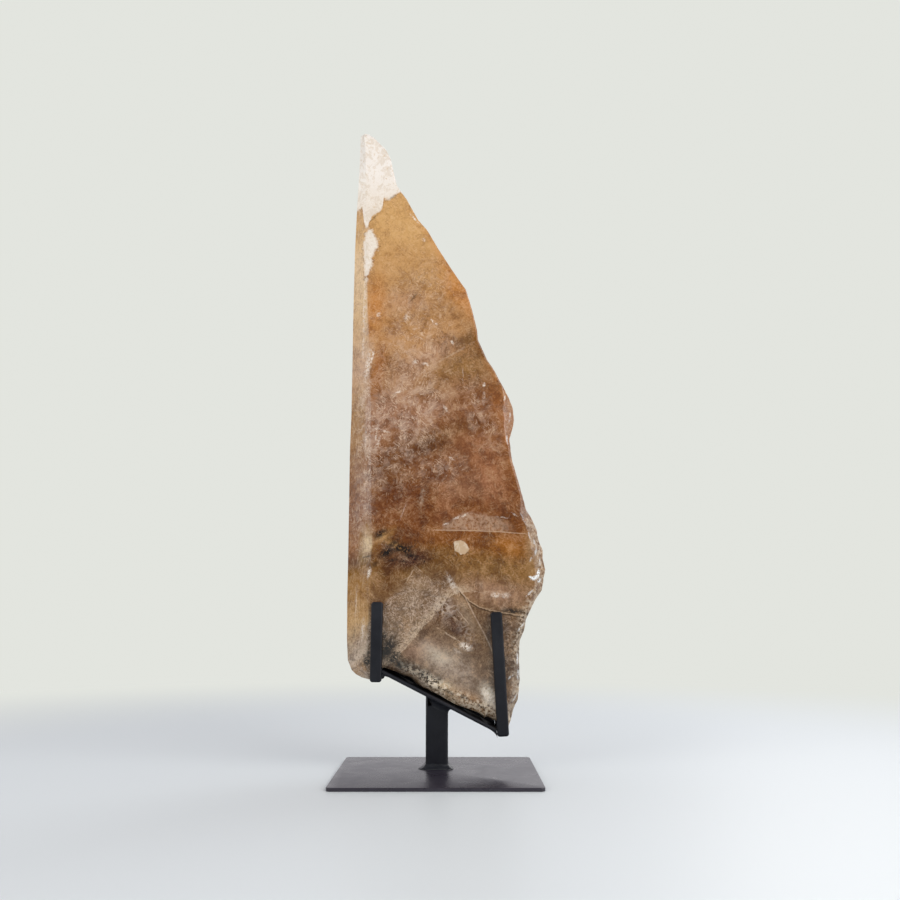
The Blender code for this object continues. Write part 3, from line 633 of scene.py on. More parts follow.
def quartz_zones(points):
    """Attributes of the stone at each point, from its place in the leaning growth zones."""
    y = points[:, 1] + SLAB_THICKNESS / 2.0
    x = points[:, 0] - ZONE_LEAN[0] * y
    z = points[:, 2] - ZONE_LEAN[1] * y
    sway = SWAY * smooth_noise(points / SWAY_SIZE)
    stir = STIR * smooth_noise(points / STIR_SIZE + 3.0)
    near_front = y < 0.6 * SLAB_THICKNESS
    loose_x = x + 0.6 * sway + 0.5 * stir
    loose_z = z + sway + stir
    tone = colour_line(FACE_ZONES, loose_z)
    for colour, strength, *ellipse in CLOUDS:
        tone = blended(tone, strength * closeness(loose_x, loose_z, *ellipse), colour)
    frost = ramp(from_line(FROST_EDGE, x, z), -0.6, 0.6)
    frost_top = from_line(FROST_TOP[::-1], x + 0.4 * stir, z + 0.5 * stir)
    frost *= ramp(frost_top, -1.0, 1.5) * (0.3 + 0.7 * ramp(-z, -184.0, -152.0))
    frost *= 1.0 - 0.85 * closeness(x, z, *FROST_HOLE)
    shell, leg = from_line(SHELL_CRACK, x, z), from_line(RIGHT_LEG, x, z)
    below_crack = ramp(-shell, -0.5, 0.8) * ramp(-leg, -0.5, 0.8) * ramp(x, 16.0, 22.0)
    tone = blended(tone, 0.6 * below_crack, "cocoa")
    right_edge = from_line(RIGHT_EDGE, points[:, 0], points[:, 2])
    # An amber band along the right edge above z 240: painted glow of light coming through the thin
    # rounded edge
    near_edge = ramp(-np.abs(right_edge), -7.0, -1.0) * ramp(z, 240.0, 300.0)
    tone = blended(tone, 0.3 * near_edge * ramp(-z, -535.0, -500.0), "amber")
    limit = np.interp(z, *np.array(FACET_LIMIT).T)
    facet = ramp(-x, -limit - 1.5, -limit + 1.0 + 0.4 * stir) * ramp(-y, -26.0, -12.0)
    tone = blended(tone, facet, colour_line(FACET_ZONES, loose_z))
    patch = np.where(near_front, within(FACET_PATCH, x + 0.3 * stir, z), -FAR_AWAY)
    tone = blended(tone, ramp(patch, -0.8, 1.2), "cream")
    around = near_front * closeness(x, z, *PATCH_HALO)
    tone = blended(tone, 0.5 * around, "cream")
    milk = 0.75 * (z + stir - line_height(CAP_BORDER, x))
    milk = np.maximum(milk, within(MILK_PATCH, x, z))
    bottom_edge = np.abs(from_line(BOTTOM_EDGE, points[:, 0], points[:, 2]))
    low_rim = ramp(0.7 * sway - bottom_edge, -15.0, -9.0)
    low_rim *= 0.35 * ramp(x, -40.0, -25.0) + 0.65 * ramp(x, -14.0, -4.0)
    side_rim = ramp(-np.abs(right_edge), -9.0, -4.0) * ramp(-z, -240.0, -222.0)
    ledge_floor = np.where(near_front, from_line(LEDGE_FLOOR, x, z), -FAR_AWAY)
    ledge = ramp(ledge_floor, -0.5, 0.5) * ramp(-from_line(LEDGE_TOP, x, z), -1.0, 1.5)
    ledge *= ramp(ledge_floor, FAR_AWAY, 30.0) * ramp(-x, -74.0, -58.0)
    flake = np.where(near_front, within(FLAKE, x, z), -FAR_AWAY)
    lift = POLISH_LIFT + facet[:, None] * np.array(FACET_LIFT)
    return {
        "tone": np.maximum(STONE_GAIN * tone - lift, (0.3 - 0.15 * facet[:, None]) * tone),
        "flake": flake,
        "crust": np.maximum(low_rim, 0.55 * side_rim),
        "milk": milk,
        "veil": patchwork(loose_x, loose_z, VEILS),
        "speck": patchwork(loose_x, loose_z, SPECKS),
        "clear": patchwork(loose_x, loose_z, CLEAR_STONE) * (1.0 - frost),
        "frost": frost,
        "facet": facet,
        "frost_edge": from_line(FROST_EDGE, x, z),
        "leg": leg,
        "shell": shell,
        "ledge": ledge,
        "ledge_floor": ledge_floor,
    }


# ---------------------------------------------------------------- materials

# Kinds of node: Blender's name for it, what its values fill in order, its output, its settings
SMOOTH = {"interpolation_type": "SMOOTHSTEP", "clamp": False}
RANGE = ("Value", "From Min", "From Max", "To Max")
MOVE = ("Vector", "Location", "Rotation", "Scale")
KINDS = {
    "plus": ("Math", (0, 1), 0, {"operation": "ADD"}),
    "less": ("Math", (0, 1), 0, {"operation": "SUBTRACT"}),
    "times": ("Math", (0, 1), 0, {"operation": "MULTIPLY"}),
    "larger": ("Math", (0, 1), 0, {"operation": "MAXIMUM"}),
    "positive": ("Math", (0, 1), 0, {"operation": "ABSOLUTE"}),
    "between": ("MapRange", RANGE, 0, SMOOTH),
    "range": ("MapRange", RANGE, 0, {}),
    "blend": ("Mix", (0, 6, 7), 2, {"data_type": "RGBA"}),
    "noise": ("TexNoise", ("Vector", "Scale", "Detail", "Roughness", "Distortion"), 0, {}),
    "attribute": ("Attribute", ("attribute_name",), "Fac", {}),
    "object_place": ("TexCoord", (), "Object", {}),
    "moved": ("Mapping", MOVE, 0, {}),
    "own_frame": ("Mapping", MOVE, 0, {"vector_type": "TEXTURE"}),
    "bump": ("Bump", ("Height", "Strength", "Distance"), 0, {}),
}


def add(tree, kind, *values, out=None, **settings):
    """Add a node, set it up, link or fill its sockets, and return one of its outputs.

    The kind is a row of KINDS, with its values in that row's order, or Blender's own name.
    One dictionary may name the sockets instead; names in small letters are settings. A string
    on a socket is one of the stone's colours."""
    blender_name, order, usual_out, usual = KINDS.get(kind, (kind, (), 0, {}))
    node = tree.nodes.new("ShaderNode" + blender_name)
    named = values[0] if values and isinstance(values[0], dict) else dict(zip(order, values))
    for name, value in {**usual, **settings, **named}.items():
        if isinstance(value, bpy.types.NodeSocket):
            tree.links.new(value, node.inputs[name])
        elif isinstance(name, str) and name.islower():
            setattr(node, name, value)
        else:
            colour = isinstance(value, str)
            node.inputs[name].default_value = rgba(STONE[value]) if colour else value
    return node.outputs[usual_out if out is None else out] if node.outputs else None


def new_material(name):
    """An empty material, and the function that adds nodes to it."""
    material = bpy.data.materials.new(name)
    material.use_nodes = True
    material.node_tree.nodes.clear()
    return material, partial(add, material.node_tree)


# Spots and short lines in the stone: strength, middle (x, z), reach (along, across), turn
# White spots in the stone; some of them, on the rims and along cracks, are painted glints: white
# highlights in the colour
WHITE_MARKS = [
    (0.9, 47.5, 66, 8.5, 4.2, -58), (0.5, 13.5, 167, 8, 2.2, -60), (0.3, -69, 430, 28, 1.8, 88.5),
    (0.55, -65.5, 372, 14, 2.2, 80), (0.55, -21, 374, 2.2, 1.6, 20),
    (0.6, -11, 372, 2.6, 1.5, -10), (0.75, -5, 414, 2.2, 0.8, -50), (0.65, -2, 411, 1.8, 0.6, 0),
    (0.6, -56, 420, 2.2, 1.6, 60), (0.35, -29, 418, 4, 2.4, 70), (0.8, 14, 393, 2, 0.9, -60),
    (0.6, -37, 345, 3, 0.9, 15), (0.5, 8, 329, 3.6, 1, -55), (0.7, -56, 310, 2.2, 0.8, 10),
    (0.5, -49, 308, 3.6, 0.8, -20), (0.7, -57, 303, 3.6, 0.8, 80),
    (0.45, -55.5, 296, 5.5, 1.6, 75), (0.4, -67, 302, 11, 0.6, 88), (0.6, 13, 282, 3.4, 0.6, -32),
    (0.9, 44, 352, 1.6, 1.2, 80), (0.3, 43.5, 340, 6, 1.1, 88), (0.35, 24, 362, 6, 0.35, 88),
    (0.8, -22.5, 516.5, 5, 0.7, -48), (0.7, -13.5, 495, 1.8, 1.2, -40),
    (0.8, 63, 339, 2.4, 0.6, 80), (1, -62, 176.6, 4, 1.3, 76), (0.3, 18, 106.5, 3.2, 1.6, -25),
    (0.9, 26, 110.5, 4.6, 2.6, -20), (0.6, 8, 221, 2.4, 0.8, 15), (0.75, 18.5, 227, 2.8, 0.9, 20),
    (0.75, 25, 229, 3.2, 0.8, 25), (0.45, 60, 227, 5, 0.5, -8), (0.6, 71, 230, 2.6, 0.6, -30),
    (0.8, 53, 156.5, 3, 2, 0), (0.6, 62, 156, 3.4, 1.8, 0), (0.85, -61.5, 379.5, 6, 1, 79),
    (0.45, -70, 425, 28, 1.1, 89), (0.45, -70.5, 390, 12, 0.8, 89),
    (0.35, -31.5, 232, 6, 0.5, 70), (0.55, -74, 150, 13, 0.8, 88), (0.5, -71, 544, 3, 1.2, 80),
    (0.6, -72, 551, 4.5, 0.8, 70), (0.55, -67.2, 126, 8.5, 1.4, 86),
]
FAINT_LINES = [
    (0.5, 12, 120, 13, 0.6, -31), (0.35, -20, 153, 17, 0.45, 57), (0.4, -24.5, 174, 10, 0.5, 60),
    (0.4, -12, 175.5, 9.5, 0.5, -42), (0.45, 24, 136.5, 10, 0.4, -51),
    (0.4, 48, 216, 10, 0.35, 92), (0.3, 18, 384, 22, 1, 30), (0.4, -26, 172, 7, 0.4, 20),
    (0.4, -14, 246, 9, 2.2, 78), (0.35, 16, 195, 3.6, 0.5, -60),
]
# Painted glints on the broken rim: white highlights, where the rim throws the window's light back,
# painted into the stone's colour
BRUISES = [
    (1, 89, 172, 3.6, 1.9, 25), (1, 92.5, 176, 3.8, 1.3, 80), (1, 85.6, 172.6, 2.2, 0.9, -20),
    (0.9, 93.5, 170, 2.2, 1.2, 60), (0.5, 90.5, 196, 3.5, 0.9, 75), (0.55, 94, 187, 3.5, 0.9, 95),
    (0.4, 86, 189, 2.4, 0.8, 60), (0.4, 84, 212, 6, 0.6, -72), (0.4, 79, 226, 6, 0.6, -66),
    (0.45, 89.5, 204, 3.6, 0.8, -75), (0.6, 84, 158, 4, 0.8, 45), (0.6, 76, 128, 4.5, 0.8, 50),
    (0.7, 72.5, 100, 5, 0.8, 90), (0.7, 73, 86, 5, 0.9, 88), (0.6, 66, 84, 2.6, 1, 40),
    (0.6, 70, 66, 5, 0.8, 60), (0.6, 68, 322, 5, 0.8, 82), (0.5, 65, 300, 4, 0.7, 95),
]
BUBBLES = [(0.55, 8, 146, 10, 7, -30), (0.25, 26, 124, 12, 5, -60)]
DARK_MARKS = [
    (1, -45, 108, 12, 6, 62), (1, -39, 100, 7, 4.4, 20), (1, -33, 95, 8, 4, -40),
    (0.9, -48, 119, 6, 2.4, 70), (1, -10, 85, 8.5, 4.2, -40), (0.9, -1, 81, 5, 3.6, 0),
    (0.8, -20, 88, 7, 2.4, -20), (0.8, 24, 66, 6, 1.6, -28), (0.8, 40, 58, 5, 1.4, -28),
    (0.7, 12, 70, 5, 1.6, -28), (1, -46, 195, 7, 3.8, 25), (1, -34, 199, 6.4, 3.2, 10),
    (1, -28.5, 197, 5.6, 3.6, -20), (0.9, -52, 212, 6, 3, 35), (0.8, -40, 203, 6, 2.4, 40),
    (0.8, -24, 192, 7, 2.2, -15), (0.75, -64, 191.5, 4.4, 0.8, 12), (0.7, -40, 188, 4, 1.2, 10),
    (0.6, -31, 187, 3, 1.2, -10), (0.55, -57, 184, 4, 2.2, 30), (0.9, 69, 142, 11, 2.4, -4),
    (0.7, 84, 138, 7, 1.6, -20), (0.65, -45, 538, 5, 0.9, 32), (0.5, -62, 517, 4, 0.9, 50),
    (0.5, -23, 437, 5, 1.4, 60), (1, -63, 98, 5, 3.4, 60), (0.7, -61.5, 105.5, 3, 1.6, 80),
    (0.8, -75.3, 124.3, 2.2, 1.2, 60), (0.8, -76.2, 119.5, 2, 1.1, 80),
]
# How far a mark reaches into the stone
MARK_DEPTH = 9.0
# Scale that turns object coordinates, in metres, into millimetres
PER_MM = (1.0 / MM,) * 3
# Pattern sizes in millimetres: mottling, and the hairs of healed cracks (along, through, across)
BROAD_SIZE, MIDDLING_SIZE, FINE_SIZE = 20.0, 7.0, 1.8
HAIR_SIZE = (6.5, 3.0, 0.85)
QUARTZ_IOR = 1.544
POLISHED_ROUGHNESS = 0.09
# Absorption per metre of the smoky stone
SMOKE_DENSITY = 28.0
# Paint: smudges of that many millimetres, dust specks per millimetre
PAINT_IOR = 1.5
SMUDGE_SIZE = 26.0
DUST_DENSITY = 1.3
DUST_COLOUR = "6c6a66"


def marks_mask(node, place, marks, softness):
    """Strength of the strongest mark at a place: full inside its ellipse, nothing outside."""
    total = 0.0
    for strength, x, z, along, across, turn in marks:
        local = node("own_frame", place, (x, -SLAB_THICKNESS / 2.0, z),
                     (0.0, math.radians(-turn), 0.0),
                     (2.0 * along, 2.0 * MARK_DEPTH, 2.0 * across))
        inside = node("TexGradient", {"Vector": local}, out="Fac", gradient_type="SPHERICAL")
        share = node("between", inside, 0.5 - softness / 2.0, 0.5 + softness / 2.0, strength)
        total = node("larger", total, share)
    return total


def shaken(node, vector, size, amount):
    """The vector moved about by a noise of that size, in millimetres."""
    shaking = node("noise", vector, 1 / size, 3.0, 0.6).node.outputs["Color"]
    push = node("VectorMath", {0: shaking, 1: (amount,) * 3, 2: (-0.5 * amount,) * 3},
                operation="MULTIPLY_ADD")
    return node("moved", vector, push)


def thin_line(node, distance, half_width):
    """1 on the line, where the distance is 0, and 0 from 1.5 half widths on."""
    return node("between", node("positive", distance, 0.0), half_width * 1.5, half_width * 0.5)


def hairs(node, vector, turn):
    """Noise drawn out into hairs that run at that angle."""
    local = node("own_frame", vector, (0.0,) * 3, (0.0, math.radians(-turn), 0.0), HAIR_SIZE)
    return node("noise", local, 1.0, 2.0, 0.5)


def quartz_patterns(node):
    """What the layers of the stone share: places stirred by noise, and the mesh's zones.

    A noise's second value is always 1 / its size in millimetres."""
    place = node("moved", {"Vector": node("object_place"), "Scale": PER_MM})
    stone = SimpleNamespace(place=place)
    stone.stirred = shaken(node, place, 20.0, 16.0)
    stone.curled = shaken(node, place, 4.0, 4.5)
    stone.ragged = shaken(node, place, 2.6, 2.4)
    for zone in ("broken", "veil", "speck", "frost", "clear", "ledge"):
        setattr(stone, zone, node("attribute", zone))
    stone.uneven = node("less", node("noise", place, 1 / 3, 3.0, 0.6), 0.5)
    return stone


def cloudy_body(node, stone):
    """The zones' own colour with cloudy mottling of three sizes, darkened and lit by it."""
    broad = node("noise", stone.stirred, 1 / BROAD_SIZE, 3.0, 0.55)
    broad = node("between", broad, 0.32, 0.68)
    middling = node("noise", stone.stirred, 1 / MIDDLING_SIZE, 5.0, 0.62, 0.6)
    stone.middling = node("between", middling, 0.32, 0.68)
    fine = node("noise", stone.ragged, 1 / FINE_SIZE, 3.0, 0.7)
    stone.fine = node("between", fine, 0.28, 0.72)
    mottle = node("plus", node("times", broad, 0.36), node("times", stone.middling, 0.3))
    stone.mottle = node("plus", mottle, node("times", stone.fine, 0.34))
    stone.tone = node("attribute", "tone", out="Color")
    stone.deep = node("blend", 1.0, stone.tone, "shade", blend_type="MULTIPLY")
    stone.height = node("SeparateXYZ", {"Vector": stone.place}, out="Z")
    muddy = node("plus", node("between", stone.height, 490.0, 390.0, 0.28), 0.4)
    muddy = node("times", node("between", stone.mottle, 0.6, 0.15), muddy)
    colour = node("blend", muddy, stone.tone, stone.deep)
    return node("blend", node("between", stone.mottle, 0.5, 0.9, 0.22), colour, "glow")


def healed_cracks(node, stone, colour):
    """Tufts of fine hairs that run three ways, over soft pale haze."""
    tufts = node("noise", stone.stirred, 1 / 9, 2.0, 0.6).node.outputs["Color"]
    tufts = node("SeparateColor", {"Color": tufts}).node.outputs
    threads = furrows = 0.0
    for channel, turn in (("Red", 25.0), ("Green", 80.0), ("Blue", 140.0)):
        strand = hairs(node, stone.curled, turn)
        share = node("between", tufts[channel], 0.47, 0.62)
        raised = node("times", node("between", strand, 0.5, 0.65), share)
        threads = node("larger", threads, raised)
        sunk = node("times", node("between", strand, 0.48, 0.28), share)
        furrows = node("larger", furrows, sunk)
    colour = node("blend", node("times", furrows, 0.42), colour, stone.deep)
    haze = node("noise", stone.stirred, 1 / 9, 6.0, 0.68, 0.6)
    haze = node("between", haze, 0.42, 0.7, 0.6)
    wisps = node("larger", node("times", threads, 0.85), haze)
    wisps = node("times", wisps, node("times", stone.veil, 0.9))
    colour = node("blend", wisps, colour, "feather")
    stone.threads = threads
    return node("blend", node("times", threads, 0.22), colour, "thread")


def facet_streaks(node, stone, colour):
    """Cloudy streaks that run up the side facet."""
    streak = hairs(node, stone.place, 88.0)
    facet = node("attribute", "facet")
    pale = node("times", facet, node("between", streak, 0.52, 0.7, 0.28))
    colour = node("blend", pale, colour, "streak")
    dark = node("times", facet, node("between", streak, 0.48, 0.3, 0.3))
    return node("blend", dark, colour, stone.deep)


def frosted_zone(node, stone, colour):
    """Pale and dark grains, with a pale band along the zone's lower edge."""
    grains = node("noise", stone.curled, 1 / 1.5, 4.0, 0.75)
    powder = node("blend", node("between", grains, 0.46, 0.66, 0.75), stone.tone, "powder")
    pits = node("between", grains, 0.47, 0.32, 0.9)
    pits = node("larger", pits, node("between", stone.middling, 0.5, 0.1, 0.7))
    powder = node("blend", pits, powder, "grit")
    powder = node("blend", node("times", stone.threads, 0.7), powder, "lint")
    colour = node("blend", node("times", stone.frost, 0.9), colour, powder)
    edge = node("plus", node("attribute", "frost_edge"), node("times", stone.uneven, 3.0))
    band = node("times", node("between", edge, -0.6, 1.4), node("between", edge, 9.0, 3.5))
    band = node("times", band, node("between", grains, 0.36, 0.6, 0.55))
    upper = thin_line(node, node("less", edge, 0.4), 0.6)
    lower = node("times", thin_line(node, node("less", edge, 5.2), 0.4), 0.5)
    rims = node("times", node("larger", upper, lower), node("between", grains, 0.35, 0.6, 0.65))
    return node("blend", node("larger", band, rims), colour, "seam")


def round_bubbles(node, stone, colour):
    """Round pale bubbles beside the frosted zone's upper corner."""
    cells = node("TexVoronoi", {"Vector": stone.curled, "Scale": 1 / 5})
    rings = node("times", node("between", cells, 0.28, 0.46), node("between", cells, 0.72, 0.5))
    rings = node("times", rings, marks_mask(node, stone.ragged, BUBBLES, 0.9))
    return node("blend", rings, colour, "bubble")


def dark_inclusions(node, stone, colour):
    """Dots scattered where the stone holds soot, and ragged black patches."""
    clumps = node("between", node("noise", stone.stirred, 1 / 7, 4.0, 0.7), 0.45, 0.58)
    dots = node("between", node("noise", stone.ragged, 1 / 1.9, 3.0, 0.7), 0.5, 0.6)
    dots = node("times", dots, clumps)
    colour = node("blend", node("times", dots, stone.speck), colour, "char")
    stone.shreds = node("noise", shaken(node, stone.place, 1.5, 1.6), 1 / 2.2, 3.0, 0.7)
    sooty = marks_mask(node, stone.ragged, DARK_MARKS, 0.8)
    sooty = node("times", sooty, node("between", stone.shreds, 0.38, 0.48))
    return node("blend", sooty, colour, "ink")


def inner_cracks(node, stone, colour):
    """A ledge that hangs like a pale shelf, bright along its floor, and two longer cracks."""
    shelf = node("between", node("noise", stone.curled, 1 / 3, 4.0, 0.7), 0.3, 0.62, 0.85)
    colour = node("blend", node("times", stone.ledge, shelf), colour, "shelf")
    stone.worn = node("between", node("noise", stone.stirred, 1 / 5, 3.0, 0.6), 0.36, 0.6)
    floor_line, shell_line, leg_line = (
        node("plus", node("attribute", line), node("times", stone.uneven, swing))
        for line, swing in (("ledge_floor", 0.8), ("shell", 2.4), ("leg", 0.6)))
    floor_line = node("times", thin_line(node, floor_line, 0.45), 0.55)
    colour = node("blend", floor_line, colour, "shelf_edge")
    cleft = thin_line(node, node("plus", shell_line, 0.6), 0.6)
    colour = node("blend", node("times", cleft, 0.75), colour, "cleft")
    lip = thin_line(node, node("plus", shell_line, -0.6), 0.5)
    colour = node("blend", node("times", lip, 0.5), colour, "cleft_lip")
    leg_line = thin_line(node, leg_line, 0.6)
    leg_line = node("times", leg_line, node("plus", node("times", stone.worn, 0.5), 0.25))
    return node("blend", leg_line, colour, "crack")


def lines_and_spots(node, stone, colour):
    """Faint lines, the flake, white spots, some of them painted glints, and the painted glints
    that the broken rim gets later.
    """
    lines = node("times", marks_mask(node, stone.ragged, FAINT_LINES, 0.5), stone.worn)
    colour = node("blend", lines, colour, "scratch")
    flake = node("plus", node("attribute", "flake"), node("times", stone.uneven, 1.4))
    flake = node("between", flake, -0.2, 0.7, 0.9)
    flaked = node("blend", node("between", stone.middling, 0.3, 0.8), "flake", "worn_flake")
    colour = node("blend", flake, colour, flaked)
    # White spots, partly real and partly painted glints
    spots = marks_mask(node, stone.ragged, WHITE_MARKS, 0.85)
    stone.spots = node("times", spots, node("between", stone.shreds, 0.58, 0.46))
    colour = node("blend", stone.spots, colour, "spot")
    # Painted glints: white highlights on the broken rim, kept in the colour
    bruises = marks_mask(node, stone.ragged, BRUISES, 0.4)
    stone.bruises = node("times", bruises, node("between", stone.shreds, 0.57, 0.52))
    return colour


def milky_cap(node, stone, colour):
    """Milky cap, with a rusty stain along its border."""
    milk = node("plus", node("attribute", "milk"), node("times", stone.uneven, 5.0))
    milk = node("plus", milk, node("times", node("less", stone.middling, 0.5), 2.6))
    stain = node("times", node("between", milk, -2.6, -0.3), node("between", milk, 0.4, -0.2))
    patchy = node("between", node("noise", stone.place, 1 / 5, 2.0, 0.6), 0.46, 0.6, 0.7)
    colour = node("blend", node("times", stain, patchy), colour, "rust_stain")
    cap = node("blend", node("between", stone.height, 530.0, 565.0), "low_cap", "high_cap")
    cap = node("blend", node("between", stone.middling, 0.45, 0.8, 0.5), cap, "grey_cap")
    patchy = node("between", node("noise", stone.curled, 1 / 3, 4.0, 0.7), 0.55, 0.7, 0.6)
    cap = node("blend", patchy, cap, "tan_cap")
    cap = node("blend", node("times", stone.threads, 0.5), cap, "cap_thread")
    stone.milky = node("between", milk, -1.2, 2.4, 0.94)
    return node("blend", stone.milky, colour, cap)


def crystal_crust(node, stone, colour):
    """Crystal grains along the lower rims: pale grains, partly painted sparkle where they would
    catch the light, and black grains that are painted shade in the pits between them.
    """
    crystal = node("noise", stone.ragged, 1 / 3, 4.0, 0.7)
    stone.crust = node("attribute", "crust")
    # Pale grains, partly painted sparkle highlights
    lit = node("between", node("noise", stone.stirred, 1 / 7, 2.0, 0.6), 0.3, 0.5)
    lit = node("times", stone.crust, lit)
    lit = node("times", lit, node("between", crystal, 0.45, 0.55, 0.95))
    colour = node("blend", lit, colour, "lit_crystal")
    # Black grains: painted shade in the pits
    unlit = node("times", stone.crust, node("between", crystal, 0.43, 0.38, 0.95))
    return node("blend", unlit, colour, "black_crystal")


def broken_rim(node, stone, colour):
    """Sugary stone with pale crushed patches and painted sparkle and, on the right, painted
    glints: white highlights in the colour.
    """
    crushed = node("between", node("noise", stone.ragged, 1 / 2.6, 4.0, 0.7), 0.45, 0.66)
    # Fine white specks: crushed stone, and partly painted sparkle, highlights where the broken
    # grains would catch the light
    sugar = node("between", node("noise", stone.place, 1 / 1.1, 2.0, 0.7), 0.6, 0.68)
    rind = node("blend", crushed, node("blend", 0.45, colour, "rind"), "pale_rind")
    rind = node("blend", sugar, rind, "sugar")
    share = node("times", stone.broken, node("less", 0.6, node("times", stone.crust, 0.38)))
    colour = node("blend", share, colour, rind)
    # The painted glints, white highlights, laid over the broken rim's colour
    return node("blend", stone.bruises, colour, "bruise")


def quartz_material():
    """Smoky quartz stained by iron, sawn and polished on its faces and broken at its rim.

    To the eye: a gloss as of thick glass over cloudy, grainy depths, crossed by white healed
    cracks; sugary and pale where it is broken. Light gets in where the stone is neither milky,
    spotted nor frosted."""
    material, node = new_material("polished_smoky_quartz")
    stone = quartz_patterns(node)
    colour = cloudy_body(node, stone)
    for layer in (healed_cracks, facet_streaks, frosted_zone, round_bubbles, dark_inclusions,
                  inner_cracks, lines_and_spots, milky_cap, crystal_crust, broken_rim):
        colour = layer(node, stone, colour)
    solid = node("larger", stone.milky, node("larger", stone.spots, stone.frost))
    glassy = node("times", node("less", 1.0, solid), stone.clear)
    glassy = node("times", glassy, node("between", stone.mottle, 1.0, 0.2, 0.45))
    roughness = node("plus", node("times", stone.broken, 0.24),
                     node("between", stone.fine, 0.0, 1.0, 0.08))
    crumble = node("noise", stone.place, 1 / 2.6, 5.0, 0.65)
    crumble = node("plus", crumble, node("times", stone.fine, 0.2))
    bumps = node("times", crumble, node("plus", stone.broken, 0.012))
    shader = node("BsdfPrincipled", {
        "Base Color": colour,
        "Normal": node("bump", bumps, 0.6, 1.6 * MM),
        "Roughness": node("plus", roughness, POLISHED_ROUGHNESS),
        "IOR": QUARTZ_IOR,
        "Transmission Weight": glassy,
    })
    smoke = node("VolumeAbsorption", {"Color": "smoke_inside", "Density": SMOKE_DENSITY})
    node("OutputMaterial", {"Surface": shader, "Volume": smoke})
    return material


def iron_material(name, face, worn, roughness, grain, shine):
    """Mild steel under brushed satin paint: soft sheen, faint orange peel, smudges and dust
    specks.
    """
    material, node = new_material(name)
    place = node("moved", {"Vector": node("object_place"), "Scale": PER_MM})
    peel = node("noise", place, 1 / grain, 3.0)
    smudge = node("noise", place, 1 / SMUDGE_SIZE, 4.0, 0.62, 0.7)
    smudge = node("range", smudge, 0.35, 0.7)
    colour = node("blend", smudge, rgba(face), rgba(worn))
    dust = node("range", node("noise", place, DUST_DENSITY, 2.0), 0.68, 0.74, 0.35)
    colour = node("blend", dust, colour, rgba(DUST_COLOUR))
    gloss = node("range", {
        "Value": smudge, "To Min": roughness - 0.03, "To Max": roughness + 0.06,
    })
    shader = node("BsdfPrincipled", {
        "Base Color": colour, "Roughness": gloss, "IOR": PAINT_IOR, "Specular IOR Level": shine,
        "Normal": node("bump", peel, 0.35, 0.2 * MM),
    })
    node("OutputMaterial", {"Surface": shader})
    return material


# ---------------------------------------------------------------- slab

def store_attributes(mesh, zones):
    """Each zone as an attribute of the mesh's points: a colour, or one number."""
    for name, values in zones.items():
        if values.ndim == 2:
            layer = mesh.attributes.new(name, "FLOAT_COLOR", "POINT")
            filled = np.column_stack([values, np.ones(len(values))])
            layer.data.foreach_set("color", filled.astype(np.float32).ravel())
        else:
            layer = mesh.attributes.new(name, "FLOAT", "POINT")
            layer.data.foreach_set("value", values.astype(np.float32))


def build_slab():
    points, faces, broken = slab_mesh()
    slab = add_piece("quartz_slab", points, faces, quartz_material(), ["slab"],
                     sharp=28.0)
    zones = quartz_zones(points)
    zones["broken"] = broken
    store_attributes(slab.data, zones)


# ---------------------------------------------------------------- stand

def rounded_rectangle(half_width, half_depth, radius, arc_steps=6, side_steps=8):
    """Outline of a rectangle with round corners, counter-clockwise, with points on its sides."""
    turn = np.linspace(0.0, math.pi / 2.0, arc_steps)
    corners = []
    for quarter, (sign_x, sign_y) in enumerate(((1, 1), (-1, 1), (-1, -1), (1, -1))):
        angle = turn + quarter * math.pi / 2.0
        middle_x = sign_x * (half_width - radius)
        middle_y = sign_y * (half_depth - radius)
        corners.append(np.column_stack([
            middle_x + radius * np.cos(angle), middle_y + radius * np.sin(angle)]))
    pieces = []
    shares = np.linspace(0.0, 1.0, side_steps + 1)[1:-1, None]
    for index, corner in enumerate(corners):
        after = corners[(index + 1) % 4]
        pieces += [corner, corner[-1] * (1.0 - shares) + after[0] * shares]
    return np.vstack(pieces)


def lofted(rings, closed_path=False):
    """Points and faces of a skin over rings of equal length, its ends filled with one face."""
    rings = np.stack(rings)
    numbers = np.arange(rings.shape[0] * rings.shape[1]).reshape(rings.shape[:2])
    faces = grid_faces(numbers, wrap_rows=closed_path, wrap_columns=True)
    if not closed_path:
        faces += [numbers[0].tolist(), numbers[-1][::-1].tolist()]
    return rings.reshape(-1, 3), faces


def facing_out(points, faces):
    """Turn every face round if the closed skin they make holds a negative volume.

    Six times the volume is the sum of a . (b x c) over the triangles (a, b, c) of all faces."""
    volume = 0.0
    for face in faces:
        corner = points[face]
        volume += (np.cross(corner[1:-1], corner[2:]) @ corner[0]).sum()
    return faces if volume > 0 else [face[::-1] for face in faces]


def add_skin(name, rings, material, nodes, closed_path=False, sharp=35.0):
    points, faces = lofted(rings, closed_path)
    return add_piece(name, points, facing_out(points, faces), material, nodes, sharp)


def build_base_plate(material):
    """Rectangles stacked from the underside to the top, drawn in by the edge's rounding."""
    edge = PLATE_EDGE_ROUND
    rings = []
    for angle in np.linspace(0.0, 90.0, 4):
        drawn_in = edge * (1.0 - math.sin(math.radians(angle)))
        rings.append((drawn_in, edge * (1.0 - math.cos(math.radians(angle)))))
    rings += [(drawn_in, PLATE_THICKNESS - height) for drawn_in, height in rings[::-1]]
    skin = []
    for drawn_in, height in rings:
        outline = rounded_rectangle(PLATE_WIDTH / 2.0 - drawn_in, PLATE_DEPTH / 2.0 - drawn_in,
                                    PLATE_CORNER_RADIUS - drawn_in * 0.5, 6, 30)
        skin.append(np.column_stack([outline + PLATE_MIDDLE, np.full(len(outline), height)]))
    add_skin("plate", skin, material, ["base_plate"], sharp=60.0)


